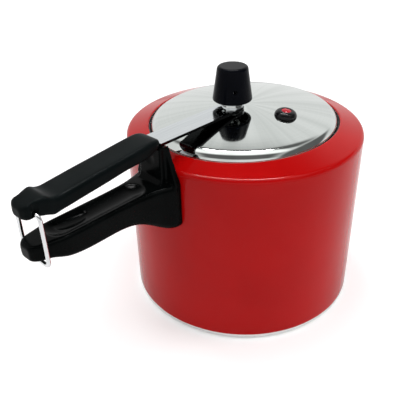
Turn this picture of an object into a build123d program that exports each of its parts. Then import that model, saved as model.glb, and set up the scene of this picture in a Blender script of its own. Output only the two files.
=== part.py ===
from build123d import *
import os
from math import asin, cos, degrees, radians, sin, sqrt, tan

os.makedirs("parts", exist_ok=True)

# Stovetop pressure cooker whose oval lid closes from inside the mouth.
# Frame: millimetres, +Z up, origin at the centre of the flat base, handles along -X.
# The steel bar is screwed to the upper handle and bolted to the lid by the vent stem.
# It rocks on a ridge above the pot wall and so pulls the lid up against the mouth.

# ---------------------------------------------------------------- driving dimensions
# Vessel
POT_RADIUS = 104.0
POT_WALL = 2.4
BASE_THICKNESS = 4.5
BASE_ROUND = 5.0
INNER_BASE_ROUND = 7.0
SHOULDER_HEIGHT = 159.4  # where the wall and the shoulder cone would meet
SHOULDER_ANGLE = 18.0  # slope of the shoulder, in degrees
SHOULDER_ROUND = 4.5
MOUTH_LENGTH = 172.4  # long way of the oval mouth, along X
MOUTH_WIDTH = 162.6  # short way of the oval mouth, along Y
MOUTH_LIP_ROUND = 1.0

# Lid and gasket
LID_THICKNESS = 2.2
LID_NECK_GAP = 1.2  # between the lid's neck and the mouth
LID_ROLL = 10.5  # radius of the lid's rolled brow
LID_BROW_ANGLE = 11.9  # slope of the dome where the roll begins, in degrees
LID_NECK_DROP = 1.6  # roll centre below the mouth's lowest edge
FLANGE_REACH = 4.4  # flange beyond the mouth, so the lid still passes through it
FLANGE_THICKNESS = 2.4
GASKET_HEIGHT = 3.0  # least height of the rubber, at its outer edge
GASKET_INSET = 0.5
GASKET_GAP = 0.3

# Vent stem, its nut and its washers
SEAT_GAP = 0.05  # rubber seats against the lid
STEM_OFFSET = 16.0  # stem axis from the pot axis, towards the handles
STEM_RADIUS = 4.5
STEM_NECK_RADIUS = 3.5
STEM_TIP_RADIUS = 2.1
STEM_BORE_RADIUS = 1.3
STEM_HOLE_GAP = 0.15
STEM_FLANGE_RADIUS = 8.0
STEM_FLANGE_THICKNESS = 2.2
STEM_SEAL_RADIUS = 9.0
STEM_SEAL_THICKNESS = 1.6
STEM_NECK_HEIGHT = 2.6  # straight neck above the nut
STEM_CONE_HEIGHT = 5.0
SPACER_RADIUS = 9.5
SPACER_THICKNESS = 0.6
WASHER_RADIUS = 8.8
WASHER_THICKNESS = 0.8
NUT_ACROSS_FLATS = 14.0
NUT_HEIGHT = 3.8

# Lid bar
BAR_WIDTH = 20.0
BAR_THICKNESS = 2.4
BAR_FLAT = 12.0  # level stretch beyond the stem
BAR_RISE = 1.4  # climb from the stem to the bend
BEND_REACH = 4.6  # bend outside the pot wall
TONGUE_WIDTH = 16.0
TONGUE_REACH = 74.0
TONGUE_ANGLE = 5.9  # downward slope of the handle, in degrees
TONGUE_GAP = 0.15
BAR_END_ROUND = 3.0

# Fulcrum ridge and bracket
RIDGE_RADIUS = 2.0
RIDGE_REACH = 1.4
RIDGE_GAP = 0.3
BRACKET_THICKNESS = 2.5
BRACKET_WIDTH = 20.0
BRACKET_DROP = 44.9  # lower end below the shoulder height
BRACKET_SEAT_GAP = 0.1
BRACKET_SLOT_GAP = 1.6

# Rivets of the bracket
RIVET_RADIUS = 2.5
RIVET_HEAD_RADIUS = 4.5
RIVET_HEAD_HEIGHT = 2.2
RIVET_HEAD_GAP = 0.15  # flat head against the round inside of the wall
RIVET_TAIL_RADIUS = 3.5
RIVET_TAIL_HEIGHT = 1.5
RIVET_FIT = 0.05
RIVET_PAIR_DROP = 15.4
RIVET_PAIR_OFFSET = 6.0
RIVET_LOW_DROP = 27.4

# Lower handle
HANDLE_SEAT_GAP = 0.2
ROOT_OVERLAP = 4.0  # the handle starts this far inside the wall, which then trims it
GRIP_TOP_DROP = 8.6  # top of the lower grip below the shoulder height
GRIP_DEPTH = 19.4
GRIP_HALF_WIDTH = 14.5
ROOT_DEPTH = 38.8
ROOT_HALF_WIDTH = 22.0
NOSE_HALF_WIDTH = 9.6
NOSE_TAPER = 14.3  # both handles begin to narrow this far inside the bail
NOSE_TIP = 7.7  # both handles end this far beyond the bail
POST_REACH = 8.6
POST_TOP_GAP = 0.5
POST_HALF_WIDTH = 12.2
POST_CORNER_ROUND = 7.0
WEB_REACH = 3.4
TROUGH_RADIUS = 22.0
TROUGH_DEPTH = 2.8
TROUGH_START = 30.0
TROUGH_END_INSET = 6.0  # from where the nose begins
THUMB_DEPTH = 3.4
THUMB_HALF_LENGTH = 15.0
THUMB_HALF_WIDTH = 7.5
THUMB_INSET = 18.0  # from where the nose begins
THUMB_OFFSET = 3.0

# Screws of the lower handle
ROOT_SCREW_DROP = 37.4
ROOT_SCREW_OFFSET = 7.0
ROOT_SCREW_RADIUS = 2.5
ROOT_SCREW_HEAD_RADIUS = 4.2
ROOT_SCREW_HEAD_HEIGHT = 3.0
ROOT_SEAT_REACH = 11.0
ROOT_WASHER_RADIUS = 4.4
ROOT_WASHER_THICKNESS = 0.8
COUNTERBORE_RADIUS = 4.7
COUNTERBORE_LENGTH = 50.0  # out through the slope of the root
WELD_NUT_ACROSS_FLATS = 8.0
WELD_NUT_HEIGHT = 3.6
SCREW_CLEARANCE = 0.2

# Upper handle
UPPER_START = 4.9  # inner end, from the pot wall
UPPER_HALF_WIDTH = 12.7
UPPER_THICKNESS = 9.3
UPPER_SKIRT = 2.4  # handle below the bar's underside
UPPER_ROUND = 3.6
THUMB_RISE = 4.3
NOTCH_RADIUS = 3.0
NOTCH_HALF_WIDTH = 8.4  # what the notches for the wire leave of the nose

# Screws and inserts of the upper handle
TONGUE_SCREW_REACHES = (24.0, 61.0)
TONGUE_SCREW_RADIUS = 2.0
TONGUE_SCREW_HEAD_RADIUS = 3.9
TONGUE_SCREW_HEAD_HEIGHT = 2.2
TONGUE_SCREW_LENGTH = 6.0
INSERT_RADIUS = 3.0
INSERT_LENGTH = 4.0
INSERT_FIT = 0.02

# Wire bail
WIRE_RADIUS = 1.5
BAIL_REACH = 114.3
BAIL_HALF_WIDTH = 14.5
BAIL_DROP = 39.65  # crossbar below the pivot
BAIL_CORNER = 4.0
BAIL_PIVOT_FIT = 0.05
BAIL_PIVOT_HEIGHT = 5.2  # pivot above the line of the bar's underside
BAIL_SEAT_GAP = 0.4
BAIL_BUTT_GAP = 0.4

# Pressure weight
WEIGHT_BOTTOM_RADIUS = 17.0
WEIGHT_TOP_RADIUS = 12.8
WEIGHT_HEIGHT = 29.0
WEIGHT_NUT_GAP = 1.1
WEIGHT_WALL = 3.2
WEIGHT_TOP_ROUND = 2.6
WEIGHT_FOOT_ROUND = 1.2
WEIGHT_SKIRT_DEPTH = 13.0
VENT_RADIUS = 1.6
VENT_HEIGHT = 10.7
VENT_ANGLES = (-131.0, -11.0, 109.0)
CORE_RADIUS = 10.0
CORE_HEIGHT = 12.5
CORE_FIT = 0.05
NEEDLE_RADIUS = 2.4
NEEDLE_TIP_RADIUS = 0.5
NEEDLE_TIP_LENGTH = 3.0
NEEDLE_SEAT_GAP = 0.1
NEEDLE_SHANK = 6.0
CLIP_RADIUS = 8.4
CLIP_THICKNESS = 0.6
CLIP_LEG_WIDTH = 4.0
CLIP_LEG_COUNT = 3
CLIP_FLOOR_GAP = 0.6

# Safety valve
SAFETY_X = 5.9
SAFETY_Y = -39.8
SAFETY_DOME_RADIUS = 9.5
SAFETY_DOME_HEIGHT = 4.6
SAFETY_BULGE = (0.87, 0.68)  # middle of the dome's outline, as shares of its radius and height
SAFETY_NECK_RADIUS = 5.6
SAFETY_NECK_GAP = 0.1
SAFETY_FOOT_RADIUS = 7.6
SAFETY_FOOT_THICKNESS = 3.0
PIN_HEAD_RADIUS = 4.2
PIN_HEAD_HEIGHT = 1.9
PIN_PROUD = 0.7
PIN_RADIUS = 2.4
PIN_FIT = 0.06

# ---------------------------------------------------------------- worked-out places
SHOULDER_SLOPE = tan(radians(SHOULDER_ANGLE))
INNER_RADIUS = POT_RADIUS - POT_WALL
WALL_RISE = POT_WALL / cos(radians(SHOULDER_ANGLE))
OVAL = MOUTH_WIDTH / MOUTH_LENGTH


def shoulder_top(radius):
    """Height of the shoulder's outer surface at a distance from the pot's axis."""
    return SHOULDER_HEIGHT + (POT_RADIUS - radius) * SHOULDER_SLOPE


def shoulder_under(radius):
    """Height of the shoulder's inner surface at a distance from the pot's axis."""
    return shoulder_top(radius) - WALL_RISE


def out(reach):
    """X of a place on the handle side, given by its distance from the pot wall."""
    return -(POT_RADIUS + reach)


def wall_frame(angle, height, radius):
    """Frame facing straight out of the pot wall, turned by an angle from -X."""
    return Location((0, 0, height), (0, 0, 180 + angle)) * Location((radius, 0, 0), (0, 90, 0))


NECK_RADIUS = MOUTH_LENGTH / 2 - LID_NECK_GAP
FLANGE_RADIUS = MOUTH_LENGTH / 2 + FLANGE_REACH
FLANGE_TOP = shoulder_under(FLANGE_RADIUS) - GASKET_GAP - GASKET_HEIGHT
ROLL_CENTRE = NECK_RADIUS - LID_ROLL
ROLL_HEIGHT = shoulder_under(MOUTH_LENGTH / 2) - LID_NECK_DROP
DOME_RADIUS = LID_ROLL + ROLL_CENTRE / sin(radians(LID_BROW_ANGLE))
DOME_CENTRE = ROLL_HEIGHT - (DOME_RADIUS - LID_ROLL) * cos(radians(LID_BROW_ANGLE))
LID_CROWN = DOME_CENTRE + DOME_RADIUS


def dome_top(x, y):
    """Height of the lid's outer surface over a place on its dome."""
    return DOME_CENTRE + sqrt(DOME_RADIUS**2 - x**2 - (y / OVAL) ** 2)


STEM_X = -STEM_OFFSET
BAR_UNDER = LID_CROWN + SPACER_THICKNESS
BAR_TOP = BAR_UNDER + BAR_THICKNESS
NUT_TOP = BAR_TOP + WASHER_THICKNESS + NUT_HEIGHT
STEM_TIP = NUT_TOP + STEM_NECK_HEIGHT + STEM_CONE_HEIGHT
SEAL_TOP = dome_top(STEM_X - STEM_SEAL_RADIUS, 0) - LID_THICKNESS - SEAT_GAP
FLANGE_SEAT = SEAL_TOP - STEM_SEAL_THICKNESS

FLAT_END = STEM_X - BAR_FLAT
BEND_X = out(BEND_REACH)
BEND_UNDER = BAR_UNDER + BAR_RISE
TONGUE_SLOPE = tan(radians(TONGUE_ANGLE))


def tongue_under(reach):
    """Height of the bar's underside in the upper handle, at a reach from the wall."""
    return BEND_UNDER - (reach - BEND_REACH) * TONGUE_SLOPE


RIDGE_X = out(RIDGE_REACH)
BAR_UNDER_AT_RIDGE = BAR_UNDER + BAR_RISE * (RIDGE_X - FLAT_END) / (BEND_X - FLAT_END)
RIDGE_Z = BAR_UNDER_AT_RIDGE - RIDGE_GAP - RIDGE_RADIUS
POST_TOP = BAR_UNDER_AT_RIDGE - POST_TOP_GAP
BRACKET_INNER = POT_RADIUS + BRACKET_SEAT_GAP
BRACKET_OUTER = BRACKET_INNER + BRACKET_THICKNESS

BRACKET_BASE = SHOULDER_HEIGHT - BRACKET_DROP
RIVET_PAIR_HEIGHT = SHOULDER_HEIGHT - RIVET_PAIR_DROP
RIVET_LOW_HEIGHT = SHOULDER_HEIGHT - RIVET_LOW_DROP
ROOT_SCREW_HEIGHT = SHOULDER_HEIGHT - ROOT_SCREW_DROP

GRIP_TOP = SHOULDER_HEIGHT - GRIP_TOP_DROP
NOSE_START = BAIL_REACH - NOSE_TAPER
NOSE_REACH = BAIL_REACH + NOSE_TIP
TROUGH_END = NOSE_START - TROUGH_END_INSET
THUMB_REACH = NOSE_START - THUMB_INSET
BAIL_PIVOT_Z = tongue_under(BAIL_REACH) + BAIL_PIVOT_HEIGHT
CROSSBAR_Z = BAIL_PIVOT_Z - BAIL_DROP

# ---------------------------------------------------------------- vessel
rivet_turn = degrees(asin(RIVET_PAIR_OFFSET / POT_RADIUS))
rivet_frames = [
    wall_frame(-rivet_turn, RIVET_PAIR_HEIGHT, POT_RADIUS),
    wall_frame(rivet_turn, RIVET_PAIR_HEIGHT, POT_RADIUS),
    wall_frame(0, RIVET_LOW_HEIGHT, POT_RADIUS),
]

with BuildPart() as pot_body:
    with BuildSketch(Plane.XZ) as outside:
        with BuildLine():
            Polyline(
                (0, 0),
                (POT_RADIUS, 0),
                (POT_RADIUS, SHOULDER_HEIGHT),
                (0, shoulder_top(0)),
                close=True,
            )
        make_face()
        rim_points = outside.vertices().group_by(Axis.X)[-1].sort_by(Axis.Y)
        fillet(rim_points[0], radius=BASE_ROUND)
        rim_points = outside.vertices().group_by(Axis.X)[-1].sort_by(Axis.Y)
        fillet(rim_points[-1], radius=SHOULDER_ROUND)
    revolve(axis=Axis.Z)
    with BuildSketch(Plane.XZ) as inside:
        with BuildLine():
            Polyline(
                (0, BASE_THICKNESS),
                (INNER_RADIUS, BASE_THICKNESS),
                (INNER_RADIUS, shoulder_under(INNER_RADIUS)),
                (0, shoulder_under(0)),
                close=True,
            )
        make_face()
        rim_points = inside.vertices().group_by(Axis.X)[-1].sort_by(Axis.Y)
        fillet(rim_points[0], radius=INNER_BASE_ROUND)
        rim_points = inside.vertices().group_by(Axis.X)[-1].sort_by(Axis.Y)
        fillet(rim_points[-1], radius=SHOULDER_ROUND - POT_WALL)
    revolve(axis=Axis.Z, mode=Mode.SUBTRACT)
    with BuildSketch(Plane.XY.offset(SHOULDER_HEIGHT / 2)):
        Ellipse(MOUTH_LENGTH / 2, MOUTH_WIDTH / 2)
    extrude(amount=shoulder_top(0), mode=Mode.SUBTRACT)
    mouth_edges = pot_body.edges(Select.LAST).filter_by(GeomType.LINE, reverse=True)
    fillet(mouth_edges, radius=MOUTH_LIP_ROUND)
    with Locations(*rivet_frames):
        Cylinder(RIVET_RADIUS + RIVET_FIT, 4 * POT_WALL, mode=Mode.SUBTRACT)
pot_body.part.label = "pot_body"
export_step(pot_body.part, "parts/pot_body.step")

# ---------------------------------------------------------------- bracket and rivets
# The bracket hugs the wall, stands up inside the post and ends in the fulcrum ridge.
root_screw_frames = [
    Location((out(ROOT_SEAT_REACH), side * ROOT_SCREW_OFFSET, ROOT_SCREW_HEIGHT), (0, -90, 0))
    for side in (1, -1)
]

with BuildPart() as handle_bracket:
    with BuildSketch(Plane.XY.offset(BRACKET_BASE)):
        Circle(BRACKET_OUTER)
        Circle(BRACKET_INNER, mode=Mode.SUBTRACT)
        with Locations((-BRACKET_OUTER, 0)):
            Rectangle(BRACKET_OUTER, BRACKET_WIDTH, mode=Mode.INTERSECT)
    extrude(amount=RIDGE_Z - BRACKET_BASE)
    with Locations((RIDGE_X, 0, RIDGE_Z)):
        Cylinder(RIDGE_RADIUS, BRACKET_WIDTH, rotation=(90, 0, 0))
    with Locations(*rivet_frames):
        Cylinder(RIVET_RADIUS + RIVET_FIT, 4 * BRACKET_THICKNESS, mode=Mode.SUBTRACT)
    with Locations(*root_screw_frames):
        Cylinder(ROOT_SCREW_RADIUS + SCREW_CLEARANCE, 2 * ROOT_SEAT_REACH, mode=Mode.SUBTRACT)
handle_bracket.part.label = "handle_bracket"
export_step(handle_bracket.part, "parts/handle_bracket.step")

rivet_seat = -POT_WALL - RIVET_HEAD_GAP
rivet_tail = BRACKET_OUTER - POT_RADIUS
with BuildPart() as rivet:
    with BuildSketch(Plane.XZ):
        with BuildLine():
            TangentArc(
                (0, rivet_seat - RIVET_HEAD_HEIGHT), (RIVET_HEAD_RADIUS, rivet_seat), tangent=(1, 0)
            )
            Polyline(
                (RIVET_HEAD_RADIUS, rivet_seat),
                (RIVET_RADIUS, rivet_seat),
                (RIVET_RADIUS, rivet_tail),
                (RIVET_TAIL_RADIUS, rivet_tail),
                (RIVET_TAIL_RADIUS, rivet_tail + RIVET_TAIL_HEIGHT),
                (0, rivet_tail + RIVET_TAIL_HEIGHT),
                (0, rivet_seat - RIVET_HEAD_HEIGHT),
            )
        make_face()
    revolve(axis=Axis.Z)

with BuildPart() as bracket_rivets:
    with Locations(*rivet_frames):
        add(rivet.part)
bracket_rivets.part.label = "bracket_rivets"
export_step(bracket_rivets.part, "parts/bracket_rivets.step")

# ---------------------------------------------------------------- lower handle
# Station of a loft: reach from the wall, drop of the underside and of the top below the
# grip's top, half width, corner radius.
LOWER_STATIONS = (
    (-ROOT_OVERLAP, ROOT_DEPTH, 0.4, ROOT_HALF_WIDTH, 5.0),
    (8.0, ROOT_DEPTH - 0.6, 0.2, ROOT_HALF_WIDTH - 1.5, 5.0),
    (18.0, ROOT_DEPTH - 5.9, 0.0, GRIP_HALF_WIDTH + 3.1, 5.0),
    (36.0, GRIP_DEPTH + 3.3, 0.0, GRIP_HALF_WIDTH + 0.7, 4.2),
    (NOSE_START - 42.0, GRIP_DEPTH, 0.0, GRIP_HALF_WIDTH, 3.6),
    (NOSE_START - 26.0, GRIP_DEPTH, 0.0, GRIP_HALF_WIDTH, 3.6),
    (NOSE_START - 10.0, GRIP_DEPTH - 1.0, 0.0, GRIP_HALF_WIDTH, 3.6),
    (NOSE_START, GRIP_DEPTH - 3.2, 0.0, GRIP_HALF_WIDTH - 0.6, 3.4),
    (NOSE_START + 8.0, GRIP_DEPTH - 6.1, 0.0, NOSE_HALF_WIDTH + 2.6, 3.0),
    (NOSE_START + 15.0, GRIP_DEPTH - 7.1, 0.0, NOSE_HALF_WIDTH + 0.9, 2.6),
    (NOSE_REACH - 3.0, GRIP_DEPTH - 7.1, 0.1, NOSE_HALF_WIDTH - 1.2, 2.6),
    (NOSE_REACH, GRIP_DEPTH - 8.4, 1.8, NOSE_HALF_WIDTH - 4.4, 2.6),
)

with BuildPart() as trough_cutter:
    trough_z = GRIP_TOP + TROUGH_RADIUS - TROUGH_DEPTH
    with Locations((out((TROUGH_START + TROUGH_END) / 2), 0, trough_z)):
        Cylinder(TROUGH_RADIUS, TROUGH_END - TROUGH_START, rotation=(0, 90, 0))
    with Locations((out(TROUGH_START), 0, trough_z), (out(TROUGH_END), 0, trough_z)):
        Sphere(TROUGH_RADIUS)

with BuildPart() as thumb_cutter:
    Sphere(THUMB_HALF_WIDTH)
    scale(by=(THUMB_HALF_LENGTH / THUMB_HALF_WIDTH, 1, THUMB_DEPTH / THUMB_HALF_WIDTH))

# The wire swings out past the nose, so the nose ends above the arc of the crossbar.
with BuildPart() as release_cutter:
    cutter_x = out(BAIL_REACH) + WIRE_RADIUS + BAIL_SEAT_GAP
    with Locations((cutter_x, 0, CROSSBAR_Z)):
        Box(GRIP_DEPTH, 2 * ROOT_HALF_WIDTH, GRIP_DEPTH, align=(Align.MAX, Align.CENTER, Align.CENTER))
    with Locations((out(BAIL_REACH), 0, BAIL_PIVOT_Z)):
        Cylinder(
            BAIL_DROP - WIRE_RADIUS - BAIL_SEAT_GAP,
            4 * ROOT_HALF_WIDTH,
            rotation=(90, 0, 0),
            mode=Mode.SUBTRACT,
        )

with BuildPart() as lower_handle:
    for reach, drop, top_drop, half_width, corner in LOWER_STATIONS:
        with BuildSketch(Plane.YZ.offset(out(reach))):
            with Locations((0, GRIP_TOP - (drop + top_drop) / 2)):
                RectangleRounded(2 * half_width, drop - top_drop, corner)
    loft()
    add(release_cutter.part, mode=Mode.SUBTRACT)
    post_x = out(POST_REACH)
    with BuildSketch(Plane.XZ) as post_side:
        with BuildLine():
            Polyline(
                (out(-ROOT_OVERLAP), GRIP_TOP - POST_CORNER_ROUND),
                (out(-ROOT_OVERLAP), POST_TOP),
                (post_x, POST_TOP),
                (post_x, GRIP_TOP - TROUGH_DEPTH / 2),
                (post_x - 2 * POST_CORNER_ROUND, GRIP_TOP - TROUGH_DEPTH / 2),
                (post_x - 2 * POST_CORNER_ROUND, GRIP_TOP - POST_CORNER_ROUND),
                close=True,
            )
        make_face()
        inner_corner = post_side.vertices().sort_by_distance((post_x, GRIP_TOP - TROUGH_DEPTH / 2))[0]
        fillet(inner_corner, radius=POST_CORNER_ROUND)
    extrude(amount=POST_HALF_WIDTH, both=True)
    with BuildSketch(Plane.YZ.offset(out(WEB_REACH))):
        with BuildLine():
            Polyline(
                (-ROOT_HALF_WIDTH, GRIP_TOP - POST_CORNER_ROUND),
                (-ROOT_HALF_WIDTH, GRIP_TOP),
                (-POST_HALF_WIDTH, POST_TOP),
                (POST_HALF_WIDTH, POST_TOP),
                (ROOT_HALF_WIDTH, GRIP_TOP),
                (ROOT_HALF_WIDTH, GRIP_TOP - POST_CORNER_ROUND),
                close=True,
            )
        make_face()
    extrude(amount=WEB_REACH + ROOT_OVERLAP)
    Cylinder(
        POT_RADIUS + HANDLE_SEAT_GAP,
        2 * POST_TOP,
        align=(Align.CENTER, Align.CENTER, Align.MIN),
        mode=Mode.SUBTRACT,
    )
    with Locations((-(BRACKET_OUTER + BRACKET_SLOT_GAP), 0, BRACKET_BASE - BRACKET_SLOT_GAP)):
        Box(
            BRACKET_OUTER,
            BRACKET_WIDTH + BRACKET_SLOT_GAP,
            POST_TOP,
            align=(Align.MIN, Align.CENTER, Align.MIN),
            mode=Mode.SUBTRACT,
        )
    add(trough_cutter.part, mode=Mode.SUBTRACT)
    with Locations((out(THUMB_REACH), THUMB_OFFSET, GRIP_TOP - TROUGH_DEPTH + THUMB_DEPTH / 2)):
        add(thumb_cutter.part, mode=Mode.SUBTRACT)
    with Locations(*root_screw_frames):
        Cylinder(ROOT_SCREW_RADIUS + SCREW_CLEARANCE, 2 * ROOT_SEAT_REACH, mode=Mode.SUBTRACT)
        Cylinder(
            COUNTERBORE_RADIUS,
            COUNTERBORE_LENGTH,
            align=(Align.CENTER, Align.CENTER, Align.MIN),
            mode=Mode.SUBTRACT,
        )
    for frame in root_screw_frames:
        nut_height = WELD_NUT_HEIGHT + 2 * SCREW_CLEARANCE
        with Locations((-(BRACKET_OUTER + nut_height / 2), frame.position.Y, ROOT_SCREW_HEIGHT)):
            Cylinder(
                WELD_NUT_ACROSS_FLATS / sqrt(3) + SCREW_CLEARANCE,
                nut_height,
                rotation=(0, 90, 0),
                mode=Mode.SUBTRACT,
            )
lower_handle.part.label = "lower_handle"
export_step(lower_handle.part, "parts/lower_handle.step")

with BuildPart() as root_screw:
    Cylinder(
        ROOT_SCREW_RADIUS,
        ROOT_SEAT_REACH + ROOT_WASHER_THICKNESS - 2 * BRACKET_SEAT_GAP,
        align=(Align.CENTER, Align.CENTER, Align.MAX),
    )
    Cylinder(
        ROOT_SCREW_HEAD_RADIUS,
        ROOT_SCREW_HEAD_HEIGHT,
        align=(Align.CENTER, Align.CENTER, Align.MIN),
    )
    head_top = root_screw.faces().sort_by(Axis.Z)[-1]
    fillet(head_top.edges(), radius=ROOT_SCREW_HEAD_HEIGHT / 3)
    with Locations((0, 0, ROOT_SCREW_HEAD_HEIGHT)):
        Box(2 * ROOT_SCREW_HEAD_RADIUS, ROOT_SCREW_RADIUS / 2, ROOT_SCREW_HEAD_HEIGHT, mode=Mode.SUBTRACT)

with BuildPart() as lower_handle_screws:
    for frame in root_screw_frames:
        with Locations(frame * Location((0, 0, ROOT_WASHER_THICKNESS))):
            add(root_screw.part)
lower_handle_screws.part.label = "lower_handle_screws"
export_step(lower_handle_screws.part, "parts/lower_handle_screws.step")

with BuildPart() as lower_handle_washers:
    with Locations(*root_screw_frames):
        Cylinder(ROOT_WASHER_RADIUS, ROOT_WASHER_THICKNESS, align=(Align.CENTER, Align.CENTER, Align.MIN))
        Cylinder(ROOT_SCREW_RADIUS + SCREW_CLEARANCE, 4 * ROOT_WASHER_THICKNESS, mode=Mode.SUBTRACT)
lower_handle_washers.part.label = "lower_handle_washers"
export_step(lower_handle_washers.part, "parts/lower_handle_washers.step")

with BuildPart() as bracket_nuts:
    for frame in root_screw_frames:
        with BuildSketch(Plane(origin=(-BRACKET_OUTER, frame.position.Y, ROOT_SCREW_HEIGHT), z_dir=(-1, 0, 0))):
            RegularPolygon(WELD_NUT_ACROSS_FLATS / 2, 6, major_radius=False)
            Circle(ROOT_SCREW_RADIUS + RIVET_FIT, mode=Mode.SUBTRACT)
        extrude(amount=WELD_NUT_HEIGHT)
bracket_nuts.part.label = "bracket_nuts"
export_step(bracket_nuts.part, "parts/bracket_nuts.step")

# ---------------------------------------------------------------- lid
safety_z = dome_top(SAFETY_X, SAFETY_Y)
safety_drop = safety_z - DOME_CENTRE
safety_plane = Plane(
    origin=(SAFETY_X, SAFETY_Y, safety_z),
    z_dir=(SAFETY_X / safety_drop, SAFETY_Y / OVAL**2 / safety_drop, 1),
)

with BuildPart() as lid:
    with BuildSketch(Plane.XZ):
        with BuildLine():
            CenterArc((0, DOME_CENTRE), DOME_RADIUS, 90 - LID_BROW_ANGLE, LID_BROW_ANGLE)
            CenterArc((ROLL_CENTRE, ROLL_HEIGHT), LID_ROLL, 0, 90 - LID_BROW_ANGLE)
            Polyline(
                (NECK_RADIUS, ROLL_HEIGHT),
                (NECK_RADIUS, FLANGE_TOP),
                (FLANGE_RADIUS, FLANGE_TOP),
                (FLANGE_RADIUS, FLANGE_TOP - FLANGE_THICKNESS),
                (NECK_RADIUS - LID_THICKNESS, FLANGE_TOP - FLANGE_THICKNESS),
                (NECK_RADIUS - LID_THICKNESS, ROLL_HEIGHT),
            )
            CenterArc((ROLL_CENTRE, ROLL_HEIGHT), LID_ROLL - LID_THICKNESS, 0, 90 - LID_BROW_ANGLE)
            CenterArc(
                (0, DOME_CENTRE), DOME_RADIUS - LID_THICKNESS, 90 - LID_BROW_ANGLE, LID_BROW_ANGLE
            )
            Line((0, LID_CROWN - LID_THICKNESS), (0, LID_CROWN))
        make_face()
    revolve(axis=Axis.Z)
    scale(by=(1, OVAL, 1))
    with Locations((STEM_X, 0, LID_CROWN)):
        Cylinder(STEM_RADIUS + STEM_HOLE_GAP, 6 * LID_THICKNESS, mode=Mode.SUBTRACT)
    with Locations(safety_plane.location):
        Cylinder(SAFETY_NECK_RADIUS + SAFETY_NECK_GAP, 6 * LID_THICKNESS, mode=Mode.SUBTRACT)
lid.part.label = "lid"
export_step(lid.part, "parts/lid.step")

with BuildPart() as lid_gasket:
    gasket_inner = NECK_RADIUS + SAFETY_NECK_GAP
    gasket_outer = FLANGE_RADIUS - GASKET_INSET
    with BuildSketch(Plane.XZ):
        with Locations(((gasket_inner + gasket_outer) / 2, FLANGE_TOP)):
            Rectangle(
                gasket_outer - gasket_inner,
                SHOULDER_HEIGHT,
                align=(Align.CENTER, Align.MIN),
            )
    revolve(axis=Axis.Z)
    scale(by=(1, OVAL, 1))
    with BuildSketch(Plane.XZ):
        with BuildLine():
            Polyline(
                (0, 0),
                (POT_RADIUS, 0),
                (POT_RADIUS, shoulder_under(POT_RADIUS) - GASKET_GAP),
                (0, shoulder_under(0) - GASKET_GAP),
                close=True,
            )
        make_face()
    revolve(axis=Axis.Z, mode=Mode.INTERSECT)
lid_gasket.part.label = "lid_gasket"
export_step(lid_gasket.part, "parts/lid_gasket.step")

# ---------------------------------------------------------------- lid bar
tongue_up = (-sin(radians(TONGUE_ANGLE)), 0, cos(radians(TONGUE_ANGLE)))
tongue_down = (-tongue_up[0], 0, -tongue_up[2])
tongue_screw_frames = [
    Plane(origin=(out(reach), 0, tongue_under(reach)), x_dir=(0, 1, 0), z_dir=tongue_down).location
    for reach in TONGUE_SCREW_REACHES
]
bar_shoulder = out(UPPER_START) + TONGUE_GAP

with BuildPart() as lid_bar:
    with BuildSketch(Plane.XZ):
        with BuildLine():
            Polyline(
                (STEM_X + BAR_WIDTH, BAR_TOP),
                (FLAT_END, BAR_TOP),
                (BEND_X, BEND_UNDER + BAR_THICKNESS),
                (out(TONGUE_REACH), tongue_under(TONGUE_REACH) + BAR_THICKNESS),
                (out(TONGUE_REACH), tongue_under(TONGUE_REACH)),
                (BEND_X, BEND_UNDER),
                (FLAT_END, BAR_UNDER),
                (STEM_X + BAR_WIDTH, BAR_UNDER),
                close=True,
            )
        make_face()
    extrude(amount=BAR_WIDTH, both=True)
    with BuildSketch(Plane.XY) as bar_plan:
        with Locations((STEM_X, 0)):
            Circle(BAR_WIDTH / 2)
            Rectangle(STEM_X - bar_shoulder, BAR_WIDTH, align=(Align.MAX, Align.CENTER))
            Rectangle(STEM_X - out(TONGUE_REACH), TONGUE_WIDTH, align=(Align.MAX, Align.CENTER))
        fillet(bar_plan.vertices().group_by(Axis.X)[0], radius=BAR_END_ROUND)
    extrude(amount=2 * BAR_TOP, mode=Mode.INTERSECT)
    with Locations((STEM_X, 0, BAR_TOP)):
        Cylinder(STEM_RADIUS + STEM_HOLE_GAP, 4 * BAR_THICKNESS, mode=Mode.SUBTRACT)
    with Locations(*tongue_screw_frames):
        CounterSinkHole(
            TONGUE_SCREW_RADIUS + SCREW_CLEARANCE,
            TONGUE_SCREW_HEAD_RADIUS + SCREW_CLEARANCE,
            depth=2 * BAR_THICKNESS,
        )
lid_bar.part.label = "lid_bar"
export_step(lid_bar.part, "parts/lid_bar.step")

# ---------------------------------------------------------------- vent stem and its stack
stem_plane = Plane(origin=(STEM_X, 0, 0), x_dir=(1, 0, 0), z_dir=(0, -1, 0))
stem_axis = Axis((STEM_X, 0, 0), (0, 0, 1))
stem_bottom = FLANGE_SEAT - STEM_FLANGE_THICKNESS

with BuildPart() as vent_stem:
    with BuildSketch(stem_plane):
        with BuildLine():
            Polyline(
                (STEM_BORE_RADIUS, stem_bottom),
                (STEM_FLANGE_RADIUS, stem_bottom),
                (STEM_FLANGE_RADIUS, FLANGE_SEAT),
                (STEM_RADIUS, FLANGE_SEAT),
                (STEM_RADIUS, NUT_TOP),
                (STEM_NECK_RADIUS, NUT_TOP),
                (STEM_NECK_RADIUS, NUT_TOP + STEM_NECK_HEIGHT),
                (STEM_TIP_RADIUS, STEM_TIP),
                (STEM_BORE_RADIUS, STEM_TIP),
                close=True,
            )
        make_face()
    revolve(axis=stem_axis)
vent_stem.part.label = "vent_stem"
export_step(vent_stem.part, "parts/vent_stem.step")


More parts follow.
